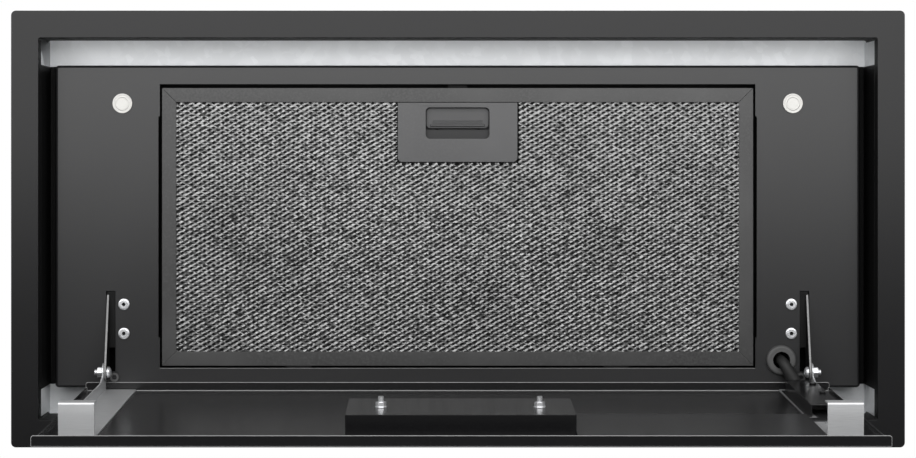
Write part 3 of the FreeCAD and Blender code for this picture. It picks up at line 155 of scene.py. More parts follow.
@dataclass(frozen=True)
class Finish:
    """A real surface, as colours, gloss and a pattern of a real size.

    Attributes:
        name: What the material is called.
        colour: Its main colour.
        shade: The colour it drifts to in broad, soft patches.
        roughness: The smoothest and the roughest value over the pattern.
        grain: How the surface was made.
        grain_mm: Width of the pattern's cells or lines.
        relief_mm: Height of the pattern.
        metallic: 1 for bare metal.
        specular: Strength of the mirror reflection of a paint or plastic.
        coat: Strength of a clear top layer.
    """

    name: str
    colour: str
    shade: str
    roughness: tuple[float, float]
    grain: Grain
    grain_mm: float
    relief_mm: float
    metallic: float = 0.0
    specular: float = 0.5
    coat: float = 0.0

    def material(self) -> bpy.types.Material:
        """Makes the material, or finds the one made before.

        Returns:
            The Blender material.
        """
        known = bpy.data.materials.get(self.name)
        if known is not None:
            return known
        made = bpy.data.materials.new(self.name)
        made.use_nodes = True
        tree = made.node_tree
        shader = tree.nodes["Principled BSDF"]
        place = add_node(tree, "ShaderNodeTexCoord", {}).outputs["Object"]
        pattern = self._pattern(tree, place)
        patches = add_node(
            tree,
            "ShaderNodeTexNoise",
            {"Vector": place, "Scale": 1 / (PATCH_MM * MM), "Detail": PATCH_DETAIL},
        )
        blend = add_node(
            tree,
            "ShaderNodeMath",
            {0: pattern, 1: patches.outputs["Fac"]},
            operation="ADD" if self.grain is Grain.SPANGLE else "MAXIMUM",
        )
        spread = add_node(
            tree,
            "ShaderNodeMapRange",
            {"Value": blend.outputs[0], "From Min": TINT_FROM[0], "From Max": TINT_FROM[1]},
        )
        tint = add_node(
            tree,
            "ShaderNodeMix",
            {0: spread.outputs[0], 6: linear(self.colour), 7: linear(self.shade)},
            data_type="RGBA",
        )
        gloss = add_node(
            tree,
            "ShaderNodeMapRange",
            {
                "Value": pattern,
                "From Min": GLOSS_FROM[0],
                "From Max": GLOSS_FROM[1],
                "To Min": self.roughness[0],
                "To Max": self.roughness[1],
            },
        )
        bump = add_node(
            tree,
            "ShaderNodeBump",
            {"Height": pattern, "Distance": self.relief_mm * MM, "Strength": 1.0},
        )
        tree.links.new(tint.outputs[2], shader.inputs["Base Color"])
        tree.links.new(gloss.outputs[0], shader.inputs["Roughness"])
        tree.links.new(bump.outputs[0], shader.inputs["Normal"])
        shader.inputs["Metallic"].default_value = self.metallic
        shader.inputs["Specular IOR Level"].default_value = self.specular
        shader.inputs["Coat Weight"].default_value = self.coat
        return made

    def _pattern(
        self, tree: bpy.types.NodeTree, place: bpy.types.NodeSocket
    ) -> bpy.types.NodeSocket:
        """Adds the nodes of the surface's fine pattern.

        Args:
            tree: The material's node tree.
            place: The place on the object, in metres.

        Returns:
            A value from 0 to 1.
        """
        scale = 1 / (self.grain_mm * MM)
        if self.grain is Grain.SPANGLE:
            warp = add_node(
                tree,
                "ShaderNodeTexNoise",
                {"Vector": place, "Scale": scale * SPANGLE_WARP, "Detail": FINE_DETAIL},
            )
            moved = add_node(
                tree,
                "ShaderNodeVectorMath",
                {0: warp.outputs["Color"], 1: (self.grain_mm * MM,) * 3, 2: place},
                operation="MULTIPLY_ADD",
            )
            cells = add_node(
                tree, "ShaderNodeTexVoronoi", {"Vector": moved.outputs[0], "Scale": scale}
            )
            return add_node(tree, "ShaderNodeRGBToBW", {0: cells.outputs["Color"]}).outputs[0]
        if self.grain is Grain.BRUSH:
            lines = add_node(
                tree, "ShaderNodeMapping", {"Vector": place, "Scale": (BRUSH_SQUEEZE, 1.0, 1.0)}
            )
            place = lines.outputs[0]
        noise = add_node(
            tree,
            "ShaderNodeTexNoise",
            {
                "Vector": place,
                "Scale": scale,
                "Detail": FINE_DETAIL,
                "Roughness": FINE_ROUGHNESS,
            },
        )
        return noise.outputs["Fac"]


# Polyester powder coat on steel: satin black, with orange peel that softens every reflection.
FLANGE_BLACK = Finish(
    "powder_coated_steel_satin_black", "#111112", "#151516", roughness=(0.29, 0.33),
    grain=Grain.PEEL, grain_mm=0.9, relief_mm=0.002, specular=0.24,
)
# The same coat on the inner panel, a little thicker and duller.
PANEL_BLACK = Finish(
    "powder_coated_steel_matt_black", "#181819", "#1c1c1d", roughness=(0.31, 0.35),
    grain=Grain.PEEL, grain_mm=0.8, relief_mm=0.002, specular=0.41,
)
# Wet enamel on the flap's inside: smooth and glossy, so the lamps draw clean lines on it.
FLAP_BLACK = Finish(
    "stove_enamelled_steel_gloss_black", "#0e0e0f", "#131314", roughness=(0.20, 0.28),
    grain=Grain.PEEL, grain_mm=1.4, relief_mm=0.003, specular=0.32,
)
# Hot-dip galvanised sheet: pale grey with soft crystal patches, dull rather than mirror-like.
ZINC = Finish(
    "hot_dip_galvanised_steel", "#e4e6e8", "#dcdee0", roughness=(0.44, 0.48),
    grain=Grain.SPANGLE, grain_mm=6.0, relief_mm=0.0001, metallic=0.3,
)
# Electro-galvanised bracket steel: rolled lines, greyer and smoother than the hot-dip sheet.
BRACKET_ZINC = Finish(
    "electro_galvanised_rolled_steel", "#c6c7c8", "#adaeb0", roughness=(0.32, 0.42),
    grain=Grain.BRUSH, grain_mm=0.5, relief_mm=0.001, metallic=0.6,
)
# Dark powder coat on the filter's rolled rails: lighter than the panel, with a fine grit.
RAIL_GREY = Finish(
    "powder_coated_rail_dark_grey", "#232323", "#454545", roughness=(0.34, 0.46),
    grain=Grain.PEEL, grain_mm=1.7, relief_mm=0.03, specular=0.45,
)
# Expanded aluminium: bare slit edges that sparkle, greyed by its own oxide.
MESH_ALUMINIUM = Finish(
    "expanded_aluminium_mill_finish", "#8c8c8c", "#626262", roughness=(0.38, 0.52),
    grain=Grain.BRUSH, grain_mm=1.2, relief_mm=0.01, metallic=1.0,
)
# The folded core behind it: the same metal, duller, and darkened as painted shade for lying in the
# front layer's shadow.
CORE_ALUMINIUM_PAINTED_SHADE = Finish(
    "expanded_aluminium_core", "#565656", "#303030", roughness=(0.5, 0.7),
    grain=Grain.SPANGLE, grain_mm=2.4, relief_mm=0.2, metallic=0.6,
)
# Nickel plate on the magnets' steel cups: bright, with faint turning marks.
NICKEL = Finish(
    "nickel_plated_steel_cup", "#a9a8a5", "#9c9b98", roughness=(0.26, 0.38),
    grain=Grain.BRUSH, grain_mm=0.3, relief_mm=0.002, metallic=0.6,
)
# Bright zinc on screws, rivets and nuts.
BRIGHT_ZINC = Finish(
    "bright_zinc_plated_steel", "#dcdddf", "#c4c5c8", roughness=(0.22, 0.36),
    grain=Grain.BRUSH, grain_mm=0.4, relief_mm=0.001, metallic=0.85,
)
# Nitrile rubber: deep black, dull, with a dusty mould texture.
RUBBER = Finish(
    "moulded_nitrile_rubber_black", "#171717", "#202020", roughness=(0.55, 0.7),
    grain=Grain.MOULD, grain_mm=0.4, relief_mm=0.01, specular=0.35,
)
# The softer rubber of the stop rings and the grommet, lightened to grey as painted light where they
# sit in shade.
BUFFER_GREY_PAINTED_LIGHT = Finish(
    "moulded_rubber_dark_grey", "#3c3c3c", "#4a4a4a", roughness=(0.5, 0.65),
    grain=Grain.MOULD, grain_mm=0.4, relief_mm=0.01,
)
# ABS with an eroded mould texture: black-grey collar, gland and housings.
ABS_BLACK = Finish(
    "moulded_abs_black", "#202021", "#272728", roughness=(0.42, 0.56),
    grain=Grain.MOULD, grain_mm=0.35, relief_mm=0.008,
)
# Satin paint on the pressed handle plate: lighter and smoother than the rails round it.
HANDLE_GREY = Finish(
    "satin_painted_pressed_steel", "#363637", "#464647", roughness=(0.34, 0.44),
    grain=Grain.PEEL, grain_mm=1.5, relief_mm=0.01,
)
# The nylon slide in the finger cup, in a grey that the fingertips keep polished.
SLIDE_GREY = Finish(
    "moulded_nylon_dark_grey", "#303031", "#363637", roughness=(0.36, 0.5),
    grain=Grain.MOULD, grain_mm=0.35, relief_mm=0.006,
)
# The cup round the slide: the same nylon, unpolished, and darker as painted shade inside the
# recess.
CUP_GREY_PAINTED_SHADE = Finish(
    "moulded_nylon_black_grey", "#1d1d1e", "#242425", roughness=(0.5, 0.62),
    grain=Grain.MOULD, grain_mm=0.35, relief_mm=0.008, specular=0.35,
)
# Phosphated steel of the hinge arms, hooks and strike, kept darker than its real black on the arms
# as painted shade. The same dull black is painted shade in the flange's upstands, the panel's side
# channels, the plenum behind the panel, the rivets' holes and the slide's bolt.
ARM_BLACK_AND_PAINTED_SHADE = Finish(
    "phosphated_steel_black", "#090909", "#0d0d0e", roughness=(0.5, 0.65),
    grain=Grain.PEEL, grain_mm=0.8, relief_mm=0.005, specular=0.15,
)
# Oil-blackened spring wire behind the slide.
SPRING_BLACK = Finish(
    "oil_blackened_spring_wire", "#1a1a1b", "#232324", roughness=(0.35, 0.5),
    grain=Grain.BRUSH, grain_mm=0.3, relief_mm=0.002, metallic=0.8,
)
# Painted highlight on the enamel's folds: grey, with some metal in it, on the rounds that face the
# lamps below.
PAINTED_FOLD_HIGHLIGHT = Finish(
    "thin_enamel_on_steel_fold", "#8a8a8a", "#7a7a7a", roughness=(0.3, 0.45),
    grain=Grain.PEEL, grain_mm=0.9, relief_mm=0.004, metallic=0.3,
)
# The arms' sheared edge, where the zinc under the black shows through, lighter still as a painted
# highlight where it faces the lamps below.
CUT_EDGE_AND_PAINTED_HIGHLIGHT = Finish(
    "sheared_steel_edge", "#7d7d7d", "#4c4c4c", roughness=(0.4, 0.6),
    grain=Grain.PEEL, grain_mm=0.8, relief_mm=0.01, metallic=0.5,
)
# Flame-retardant ABS of the fan wheel, flaps and electrics.
ABS_GREY = Finish(
    "moulded_abs_mid_grey", "#6b6d70", "#5f6164", roughness=(0.44, 0.58),
    grain=Grain.MOULD, grain_mm=0.4, relief_mm=0.008,
)
# PVC sheath of the leads: black, slightly shiny.
PVC_BLACK = Finish(
    "extruded_pvc_sheath_black", "#151516", "#1c1c1d", roughness=(0.32, 0.44),
    grain=Grain.MOULD, grain_mm=0.9, relief_mm=0.01,
)
# Painted motor shell.
MOTOR_PAINT = Finish(
    "painted_motor_shell_grey", "#4b4d50", "#424447", roughness=(0.36, 0.5),
    grain=Grain.PEEL, grain_mm=0.9, relief_mm=0.006,
)
# Epoxy glass board with its green solder mask.
BOARD_GREEN = Finish(
    "solder_masked_epoxy_board", "#1d4a2c", "#173d24", roughness=(0.25, 0.4),
    grain=Grain.MOULD, grain_mm=0.5, relief_mm=0.004, coat=0.3,
)
# Smoked acrylic of the touch window: black and mirror-smooth.
ACRYLIC = Finish(
    "smoked_acrylic_window", "#08080a", "#0b0b0d", roughness=(0.05, 0.09),
    grain=Grain.MOULD, grain_mm=2.0, relief_mm=0.0005, coat=0.6,
)
# Opal polycarbonate of the light guide: milky and softly shiny.
OPAL = Finish(
    "opal_polycarbonate", "#e6e6e2", "#dcdcd8", roughness=(0.3, 0.4),
    grain=Grain.MOULD, grain_mm=0.8, relief_mm=0.002,
)

FINISH_OF_SLOT = {
    "black_paint": FLANGE_BLACK,
    "panel_paint": PANEL_BLACK,
    "zinc_sheet": ZINC,
    "filter_frame_paint": RAIL_GREY,
    "filter_mesh": MESH_ALUMINIUM,
    "steel_hardware": BRIGHT_ZINC,
    "magnet_plate": NICKEL,
    "black_rubber": RUBBER,
    "black_plastic": ABS_BLACK,
    "grey_plastic": ABS_GREY,
    "touch_glass": ACRYLIC,
    "light_lens": OPAL,
    "board_green": BOARD_GREEN,
    "lead_black": PVC_BLACK,
    "motor_metal": MOTOR_PAINT,
}


def activate(piece: bpy.types.Object) -> None:
    """Selects one object and nothing else."""
    bpy.ops.object.select_all(action="DESELECT")
    piece.select_set(True)
    bpy.context.view_layer.objects.active = piece


def settle(piece: bpy.types.Object) -> bpy.types.Object:
    """Moves a new object's place, turn and size into its mesh."""
    activate(piece)
    bpy.ops.object.transform_apply(location=True, rotation=True, scale=True)
    return piece


def block(name: str, low: Place, high: Place) -> bpy.types.Object:
    """Adds a box between two corners.

    Args:
        name: The piece's name.
        low: Its lowest corner, in millimetres.
        high: Its highest corner, in millimetres.

    Returns:
        The new object.
    """
    bpy.ops.object.select_all(action="DESELECT")
    centre = [(a + b) / 2 * MM for a, b in zip(low, high)]
    bpy.ops.mesh.primitive_cube_add(size=1, location=centre)
    piece = bpy.context.object
    piece.name = name
    piece.scale = [(b - a) * MM for a, b in zip(low, high)]
    return settle(piece)


def barrel(name: str, radius: float, start: Place, end: Place, sides: int) -> bpy.types.Object:
    """Adds a round bar.

    Args:
        name: The piece's name.
        radius: Its radius, in millimetres.
        start: The middle of its first end, in millimetres.
        end: The middle of its last end, in millimetres.
        sides: How many flats its round has.

    Returns:
        The new object.
    """
    bpy.ops.object.select_all(action="DESELECT")
    first, last = Vector(start), Vector(end)
    along = last - first
    bpy.ops.mesh.primitive_cylinder_add(
        vertices=sides,
        radius=radius * MM,
        depth=along.length * MM,
        location=(first + last) / 2 * MM,
        rotation=along.to_track_quat("Z", "Y").to_euler(),
    )
    piece = bpy.context.object
    piece.name = name
    return settle(piece)


def edit_all(piece: bpy.types.Object) -> None:
    """Enters edit mode with everything selected."""
    activate(piece)
    bpy.ops.object.mode_set(mode="EDIT")
    bpy.ops.mesh.select_all(action="SELECT")


def pick_faces(piece: bpy.types.Object, wanted: FaceTest) -> None:
    """Enters edit mode with only some faces selected.

    Args:
        piece: The object to edit.
        wanted: Takes a face's middle, in millimetres, and its normal.
    """
    activate(piece)
    bpy.ops.object.mode_set(mode="EDIT")
    bpy.ops.mesh.select_mode(type="FACE")
    bpy.ops.mesh.select_all(action="DESELECT")
    mesh = bmesh.from_edit_mesh(piece.data)
    for face in mesh.faces:
        face.select_set(wanted(face.calc_center_median() / MM, face.normal))
    bmesh.update_edit_mesh(piece.data)


def leave_edit() -> None:
    """Goes back to object mode."""
    bpy.ops.object.mode_set(mode="OBJECT")


def inset(amount: float) -> None:
    """Insets the selected faces as one, by millimetres."""
    bpy.ops.mesh.inset(thickness=amount * MM, depth=0)


def extrude(x: float, y: float, z: float) -> None:
    """Extrudes the selected faces, by millimetres."""
    bpy.ops.mesh.extrude_region_move(TRANSFORM_OT_translate={"value": (x * MM, y * MM, z * MM)})


def modify(piece: bpy.types.Object, kind: str, **settings: Any) -> None:
    """Adds a modifier and applies it at once.

    Args:
        piece: The object that takes it.
        kind: The modifier's type.
        **settings: The modifier's own properties.
    """
    activate(piece)
    modifier = piece.modifiers.new(kind.lower(), kind)
    for name, value in settings.items():
        setattr(modifier, name, value)
    bpy.ops.object.modifier_apply(modifier=modifier.name)


def repeat(piece: bpy.types.Object, count: int, step: Place) -> None:
    """Repeats a piece in a row.

    Args:
        piece: The object that is repeated.
        count: How many there are in the row.
        step: The way from one to the next, in millimetres.
    """
    modify(
        piece,
        "ARRAY",
        count=count,
        use_relative_offset=False,
        use_constant_offset=True,
        constant_offset_displace=[c * MM for c in step],
    )


def join(pieces: list[bpy.types.Object]) -> bpy.types.Object:
    """Joins objects into the first of them.

    Args:
        pieces: The objects to join.

    Returns:
        The first one, which now holds them all.
    """
    activate(pieces[0])
    for piece in pieces[1:]:
        piece.select_set(True)
    bpy.ops.object.join()
    return pieces[0]


def break_edges(piece: bpy.types.Object, width: float, segments: int = 2) -> None:
    """Rounds every sharp edge of a piece, by millimetres."""
    modify(
        piece,
        "BEVEL",
        width=width * MM,
        segments=segments,
        limit_method="ANGLE",
        angle_limit=math.radians(SHARP_DEG),
        use_clamp_overlap=False,
        loop_slide=False,
        miter_outer="MITER_ARC",
    )


def solid_copy(node: str, name: str) -> bpy.types.Object:
    """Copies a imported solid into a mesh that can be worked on.

    Args:
        node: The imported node.
        name: The new piece's name.

    Returns:
        A copy whose faces share their corners.
    """
    piece = bpy.data.objects.new(name, frame["nodes"][node].data.copy())
    bpy.context.scene.collection.objects.link(piece)
    activate(piece)
    bpy.ops.mesh.customdata_custom_splitnormals_clear()
    edit_all(piece)
    bpy.ops.mesh.remove_doubles(threshold=MERGE_M)
    leave_edit()
    return piece


def dress(
    piece: bpy.types.Object, finish: Finish, body: str, *nodes: str, smooth: float = 32.0
) -> bpy.types.Object:
    """Gives a finished piece its material and its body.

    Args:
        piece: The piece, already in place.
        finish: Its surface.
        body: The body that it moves with.
        *nodes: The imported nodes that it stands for.
        smooth: Angle in degrees above which an edge stays sharp.

    Returns:
        The same piece.
    """
    activate(piece)
    piece.data.materials.clear()
    piece.data.materials.append(finish.material())
    bpy.ops.object.shade_smooth_by_angle(angle=math.radians(smooth))
    modify(piece, "WEIGHTED_NORMAL", weight=100, keep_sharp=True)
    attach(piece, body)
    if nodes:
        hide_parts(*nodes)
    log.info("%s: %s, %d faces", piece.name, finish.name, len(piece.data.polygons))
    return piece


def break_long_edges(piece: bpy.types.Object, width: float, shortest: float) -> None:
    """Rounds the straight edges of a large sheet and leaves its small punched holes sharp.

    Args:
        piece: The sheet.
        width: How far its edges are rounded, in millimetres.
        shortest: The shortest edge that is rounded, in millimetres.
    """
    edit_all(piece)
    bpy.ops.mesh.dissolve_limited(angle_limit=math.radians(FLAT_DEG))
    bpy.ops.mesh.select_mode(type="EDGE")
    bpy.ops.mesh.select_all(action="DESELECT")
    mesh = bmesh.from_edit_mesh(piece.data)
    sharp = math.radians(SHARP_DEG)
    for edge in mesh.edges:
        edge.select_set(edge.calc_length() > shortest * MM and edge.calc_face_angle(0.0) > sharp)
    bmesh.update_edit_mesh(piece.data)
    bpy.ops.mesh.bevel(offset=width * MM, segments=2, loop_slide=False, clamp_overlap=False)
    bpy.ops.mesh.select_mode(type="FACE")
    leave_edit()


def worked_node(node: str, finish: Finish, edge: float, segments: int = 2) -> bpy.types.Object:
    """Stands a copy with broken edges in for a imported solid.

    Args:
        node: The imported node.
        finish: Its surface.
        edge: How far its edges are rounded, in millimetres.
        segments: How many steps each round has.

    Returns:
        The new piece.
    """
    piece = solid_copy(node, node + "_piece")
    break_edges(piece, edge, segments)
    return dress(piece, finish, BODY_OF[node], node)


def paint_faces(piece: bpy.types.Object, finish: Finish, wanted: FaceTest) -> None:
    """Gives some faces of a finished piece a second finish.

    Args:
        piece: The finished piece.
        finish: The second surface.
        wanted: Takes a face's middle, in millimetres, and its normal.
    """
    piece.data.materials.append(finish.material())
    last = len(piece.data.materials) - 1
    for face in piece.data.polygons:
        if wanted(face.center / MM, face.normal):
            face.material_index = last


def kept_node(node: str, finish: Finish) -> None:
    """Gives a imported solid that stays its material."""
    shown = frame["nodes"][node]
    shown.data.materials.clear()
    shown.data.materials.append(finish.material())
    log.info("%s kept: %s", node, finish.name)


@dataclass
class SheetMetal:
    """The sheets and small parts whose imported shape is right, with the radius of their edges."""

    edges: dict[str, tuple[Finish, float]] = field(
        default_factory=lambda: {
            "casing_shell": (ZINC, 0.4),
            "filter_long_rails": (RAIL_GREY, 0.4),
            "filter_short_rails": (RAIL_GREY, 0.4),
            "handle_plate": (HANDLE_GREY, 0.35),
            # The finger cup is darkened as painted shade.
            "handle_cup": (CUP_GREY_PAINTED_SHADE, 0.3),
            "flap_bracket_left": (BRACKET_ZINC, 0.25),
            "flap_bracket_right": (BRACKET_ZINC, 0.25),
            "control_cover": (FLAP_BLACK, 0.35),
            "lead_cover_plate": (PANEL_BLACK, 0.25),
            "cable_cover": (FLAP_BLACK, 0.3),
            "pivot_nuts": (BRIGHT_ZINC, 0.3),
            "control_nuts": (BRIGHT_ZINC, 0.25),
            "cover_screws": (FLAP_BLACK, 0.3),
            "bracket_rivets": (BRIGHT_ZINC, 0.3),
            "roof_screws": (BRIGHT_ZINC, 0.4),
            "duct_collar": (ABS_BLACK, 0.3),
            "mains_gland": (ABS_BLACK, 0.4),
        }
    )

    def build(self) -> None:
        """Stands a worked copy in for each of them."""
        for node, (finish, edge) in self.edges.items():
            worked_node(node, finish, edge)


@dataclass
class SheetsWithPaintedLight:
    """The large sheets, with a second coat where a fold shines through or a gap is in shade.

    Attributes:
        flange_edge: Radius of the flange's edges.
        upstand_z: Height from which the flange's upstands are painted dull black as shade.
        panel_edge: Radius of the edges of the panel, the plenum plate and the arms.
        hole_side: Longest side of a punched hole's flats, which stay sharp.
        channel_x: Where the panel's side channels start.
        channel_z: Height from which the channels are painted dull black as shade.
        painted: Half the width and depth of the plenum plate's part behind the panel, which is
            painted dull black as shade.
        flap_edge: Radius of the edges of the flap's sheets.
        window_rear: Where the fold at the wall side of the panel's window starts.
        window_half: Half the length of that fold's painted highlight.
        panel_z: Height of the panel, below which the arms' cut edges show.
        fold_normal: Range of a round's normal along Z where it is seen from below.
        cook_normal: Largest normal along Y of a face that looks to the cook.
        down_normal: Largest normal along Z of a face that is seen from below.
    """

    flange_edge: float = 0.35
    upstand_z: float = 3.0
    panel_edge: float = 0.25
    hole_side: float = 2.0
    channel_x: float = 328.5
    channel_z: float = 29.0
    painted: tuple[float, float] = (310.0, 126.0)
    flap_edge: float = 0.42
    window_rear: float = 112.0
    window_half: float = 242.0
    panel_z: float = 28.0
    fold_normal: tuple[float, float] = (-0.96, -0.2)
    cook_normal: float = -0.2
    down_normal: float = -0.05

    def build(self) -> None:
        """Makes the plenum, the flange, the panel, both sheets of the flap and both hinge arms."""
        self._plenum()
        flange = worked_node("flange_frame", FLANGE_BLACK, self.flange_edge)
        # The inside of the flange's upstands takes the dull black as painted shade.
        paint_faces(flange, ARM_BLACK_AND_PAINTED_SHADE, self._in_upstand_shade)
        panel = solid_copy("inner_panel", "inner_panel_piece")
        break_long_edges(panel, self.panel_edge, self.hole_side)
        dress(panel, PANEL_BLACK, "hood", "inner_panel")
        # The fold at the wall side of the window takes a painted highlight.
        paint_faces(panel, PAINTED_FOLD_HIGHLIGHT, self._at_window)
        # The panel's side channels take the dull black as painted shade.
        paint_faces(panel, ARM_BLACK_AND_PAINTED_SHADE, self._in_channel_shade)
        for node in ("flap_skin", "flap_inner_plate"):
            sheet = worked_node(node, FLAP_BLACK, self.flap_edge)
            # The rounds of the flap's folds that face the lamps take a painted highlight.
            paint_faces(sheet, PAINTED_FOLD_HIGHLIGHT, self._on_lit_fold)
        for side in Side:
            arm = worked_node(f"hinge_arm_{side.name.lower()}", ARM_BLACK_AND_PAINTED_SHADE, self.panel_edge)
            # The arms' cut edges that face the lamps below are bare steel with a painted highlight.
            paint_faces(arm, CUT_EDGE_AND_PAINTED_HIGHLIGHT, self._on_lit_cut)

    def _plenum(self) -> None:
        """Makes the plenum plate, cut so that its part behind the panel can be painted black as
        shade.
        """
        plate = solid_copy("plenum_plate", "plenum_plate_piece")
        break_edges(plate, self.panel_edge)
        for axis, half in enumerate(self.painted):
            for sign in (1, -1):
                place, normal = Vector((0, 0, 0)), Vector((0, 0, 0))
                place[axis], normal[axis] = sign * half * MM, 1
                edit_all(plate)
                bpy.ops.mesh.bisect(plane_co=place, plane_no=normal)
                leave_edit()
        dress(plate, ZINC, "hood", "plenum_plate")
        # The zinc behind the panel takes the dull black as painted shade, so the gap round the
        # filter looks dark.
        paint_faces(plate, ARM_BLACK_AND_PAINTED_SHADE, self._behind_panel_shade)

    def _behind_panel_shade(self, middle: Vector, normal: Vector) -> bool:
        """Tells whether a face of the plenum plate lies behind the panel, where it is painted black
        as shade.
        """
        return abs(middle.x) < self.painted[0] and abs(middle.y) < self.painted[1]

    def _in_upstand_shade(self, middle: Vector, normal: Vector) -> bool:
        """Tells whether a face is a side of one of the flange's upstands, which is painted dull
        black as shade.
        """
        return middle.z > self.upstand_z and abs(normal.z) < UPRIGHT

    def _on_lit_fold(self, middle: Vector, normal: Vector) -> bool:
        """Tells whether a face belongs to an edge's round that is seen from below, which takes the
        painted highlight.
        """
        return self.fold_normal[0] < normal.z < self.fold_normal[1]

    def _at_window(self, middle: Vector, normal: Vector) -> bool:
        """Tells whether a face belongs to the fold at the wall side of the panel's window, which
        takes a painted highlight.
        """
        bright = self._on_lit_fold(middle, normal) and normal.y < self.cook_normal
        return bright and middle.y > self.window_rear and abs(middle.x) < self.window_half

    def _in_channel_shade(self, middle: Vector, normal: Vector) -> bool:
        """Tells whether a face lies deep in one of the panel's side channels, where dull black is
        painted as shade.
        """
        return abs(middle.x) > self.channel_x and middle.z > self.channel_z

    def _on_lit_cut(self, middle: Vector, normal: Vector) -> bool:
        """Tells whether a face is the part of an arm's sheared edge that is seen from below, which
        takes the painted highlight.
        """
        low = normal.z < self.down_normal and middle.z < self.panel_z
        return low and abs(normal.x) < UPRIGHT


@dataclass
class CatchMagnets:
    """Two pot magnets, each a plated cup with turned rings."""

    x: float = 274.1
    y: float = -101.8
    face_z: float = 26.7
    seat_z: float = 28.2
    radius: float = 8.0
    ring: float = 1.1
    groove: float = 0.12
    stem_radius: float = 3.0
    stem_end_z: float = 32.2
    edge: float = 0.12
    sides: int = 64

    def build(self) -> None:
        """Makes both magnets as one piece."""
        cups = join([self._cup(side) for side in Side])
        break_edges(cups, self.edge)
        dress(cups, NICKEL, "hood", "catch_magnets")

    def _cup(self, side: Side) -> bpy.types.Object:
        """Turns one magnet from a round bar.

        Args:
            side: Which end of the hood it is on.

        Returns:
            The magnet, face down.
        """
        name = f"catch_magnet_{side.name.lower()}"
        x = side.value * self.x
        face, seat = (x, self.y, self.face_z), (x, self.y, self.seat_z)
        cup = barrel(name, self.radius, face, seat, self.sides)
        pick_faces(cup, lambda middle, normal: normal.z < -FACING)
        for depth in (self.groove, -self.groove, self.groove):
            inset(self.ring)
            extrude(0, 0, depth)
        leave_edit()
        pick_faces(cup, lambda middle, normal: normal.z > FACING)
        inset(self.radius - self.stem_radius)
        extrude(0, 0, self.stem_end_z - self.seat_z)
        leave_edit()
        return cup


@dataclass
class PivotBolts:
    """The dome-headed hinge bolts, each with a socket in its head and a chamfered end.

    Each step of the dome is its rise and how much narrower its radius gets.
    """

    y: float = 117.0
    z: float = 16.5
    shank_radius: float = 2.5
    head_radius: float = 4.6
    head_x: float = 281.9
    seat_x: float = 284.9
    end_x: float = 295.3
    dome: tuple[tuple[float, float], ...] = ((1.1, 0.7), (0.6, 0.9), (0.3, 1.1))
    socket_rim: float = 0.35
    socket_depth: float = 1.5
    chamfer: float = 0.5
    tip_share: float = 0.8
    sides: int = 48
    smooth_deg: float = 40.0

    def build(self) -> None:
        """Makes both bolts as one piece."""
        bolts = join([self._bolt(side) for side in Side])
        dress(bolts, BRIGHT_ZINC, "hood", "pivot_bolts", smooth=self.smooth_deg)

    def _bolt(self, side: Side) -> bpy.types.Object:
        """Turns one bolt from its head.

        Args:
            side: Which end of the hood it is on.

        Returns:
            The bolt.
        """
        sign = side.value
        name = f"pivot_bolt_{side.name.lower()}"
        rim_x = self.head_x + sum(rise for rise, _ in self.dome)
        seat, rim = (sign * self.seat_x, self.y, self.z), (sign * rim_x, self.y, self.z)
        bolt = barrel(name, self.head_radius, seat, rim, self.sides)
        pick_faces(bolt, lambda middle, normal: normal.x * sign < -FACING)
        for rise, narrow in self.dome:
            share = 1 - narrow / self.head_radius
            extrude(-sign * rise, 0, 0)
            bpy.ops.transform.resize(value=(1, share, share))
        inset(self.socket_rim)
        extrude(sign * self.socket_depth, 0, 0)
        leave_edit()
        back = self.seat_x - NEAR
        pick_faces(bolt, lambda middle, normal: normal.x * sign > FACING and abs(middle.x) > back)
        inset(self.head_radius - self.shank_radius)
        extrude(sign * (self.end_x - self.seat_x - self.chamfer), 0, 0)
        extrude(sign * self.chamfer, 0, 0)
        bpy.ops.transform.resize(value=(1, self.tip_share, self.tip_share))
        leave_edit()
        return bolt


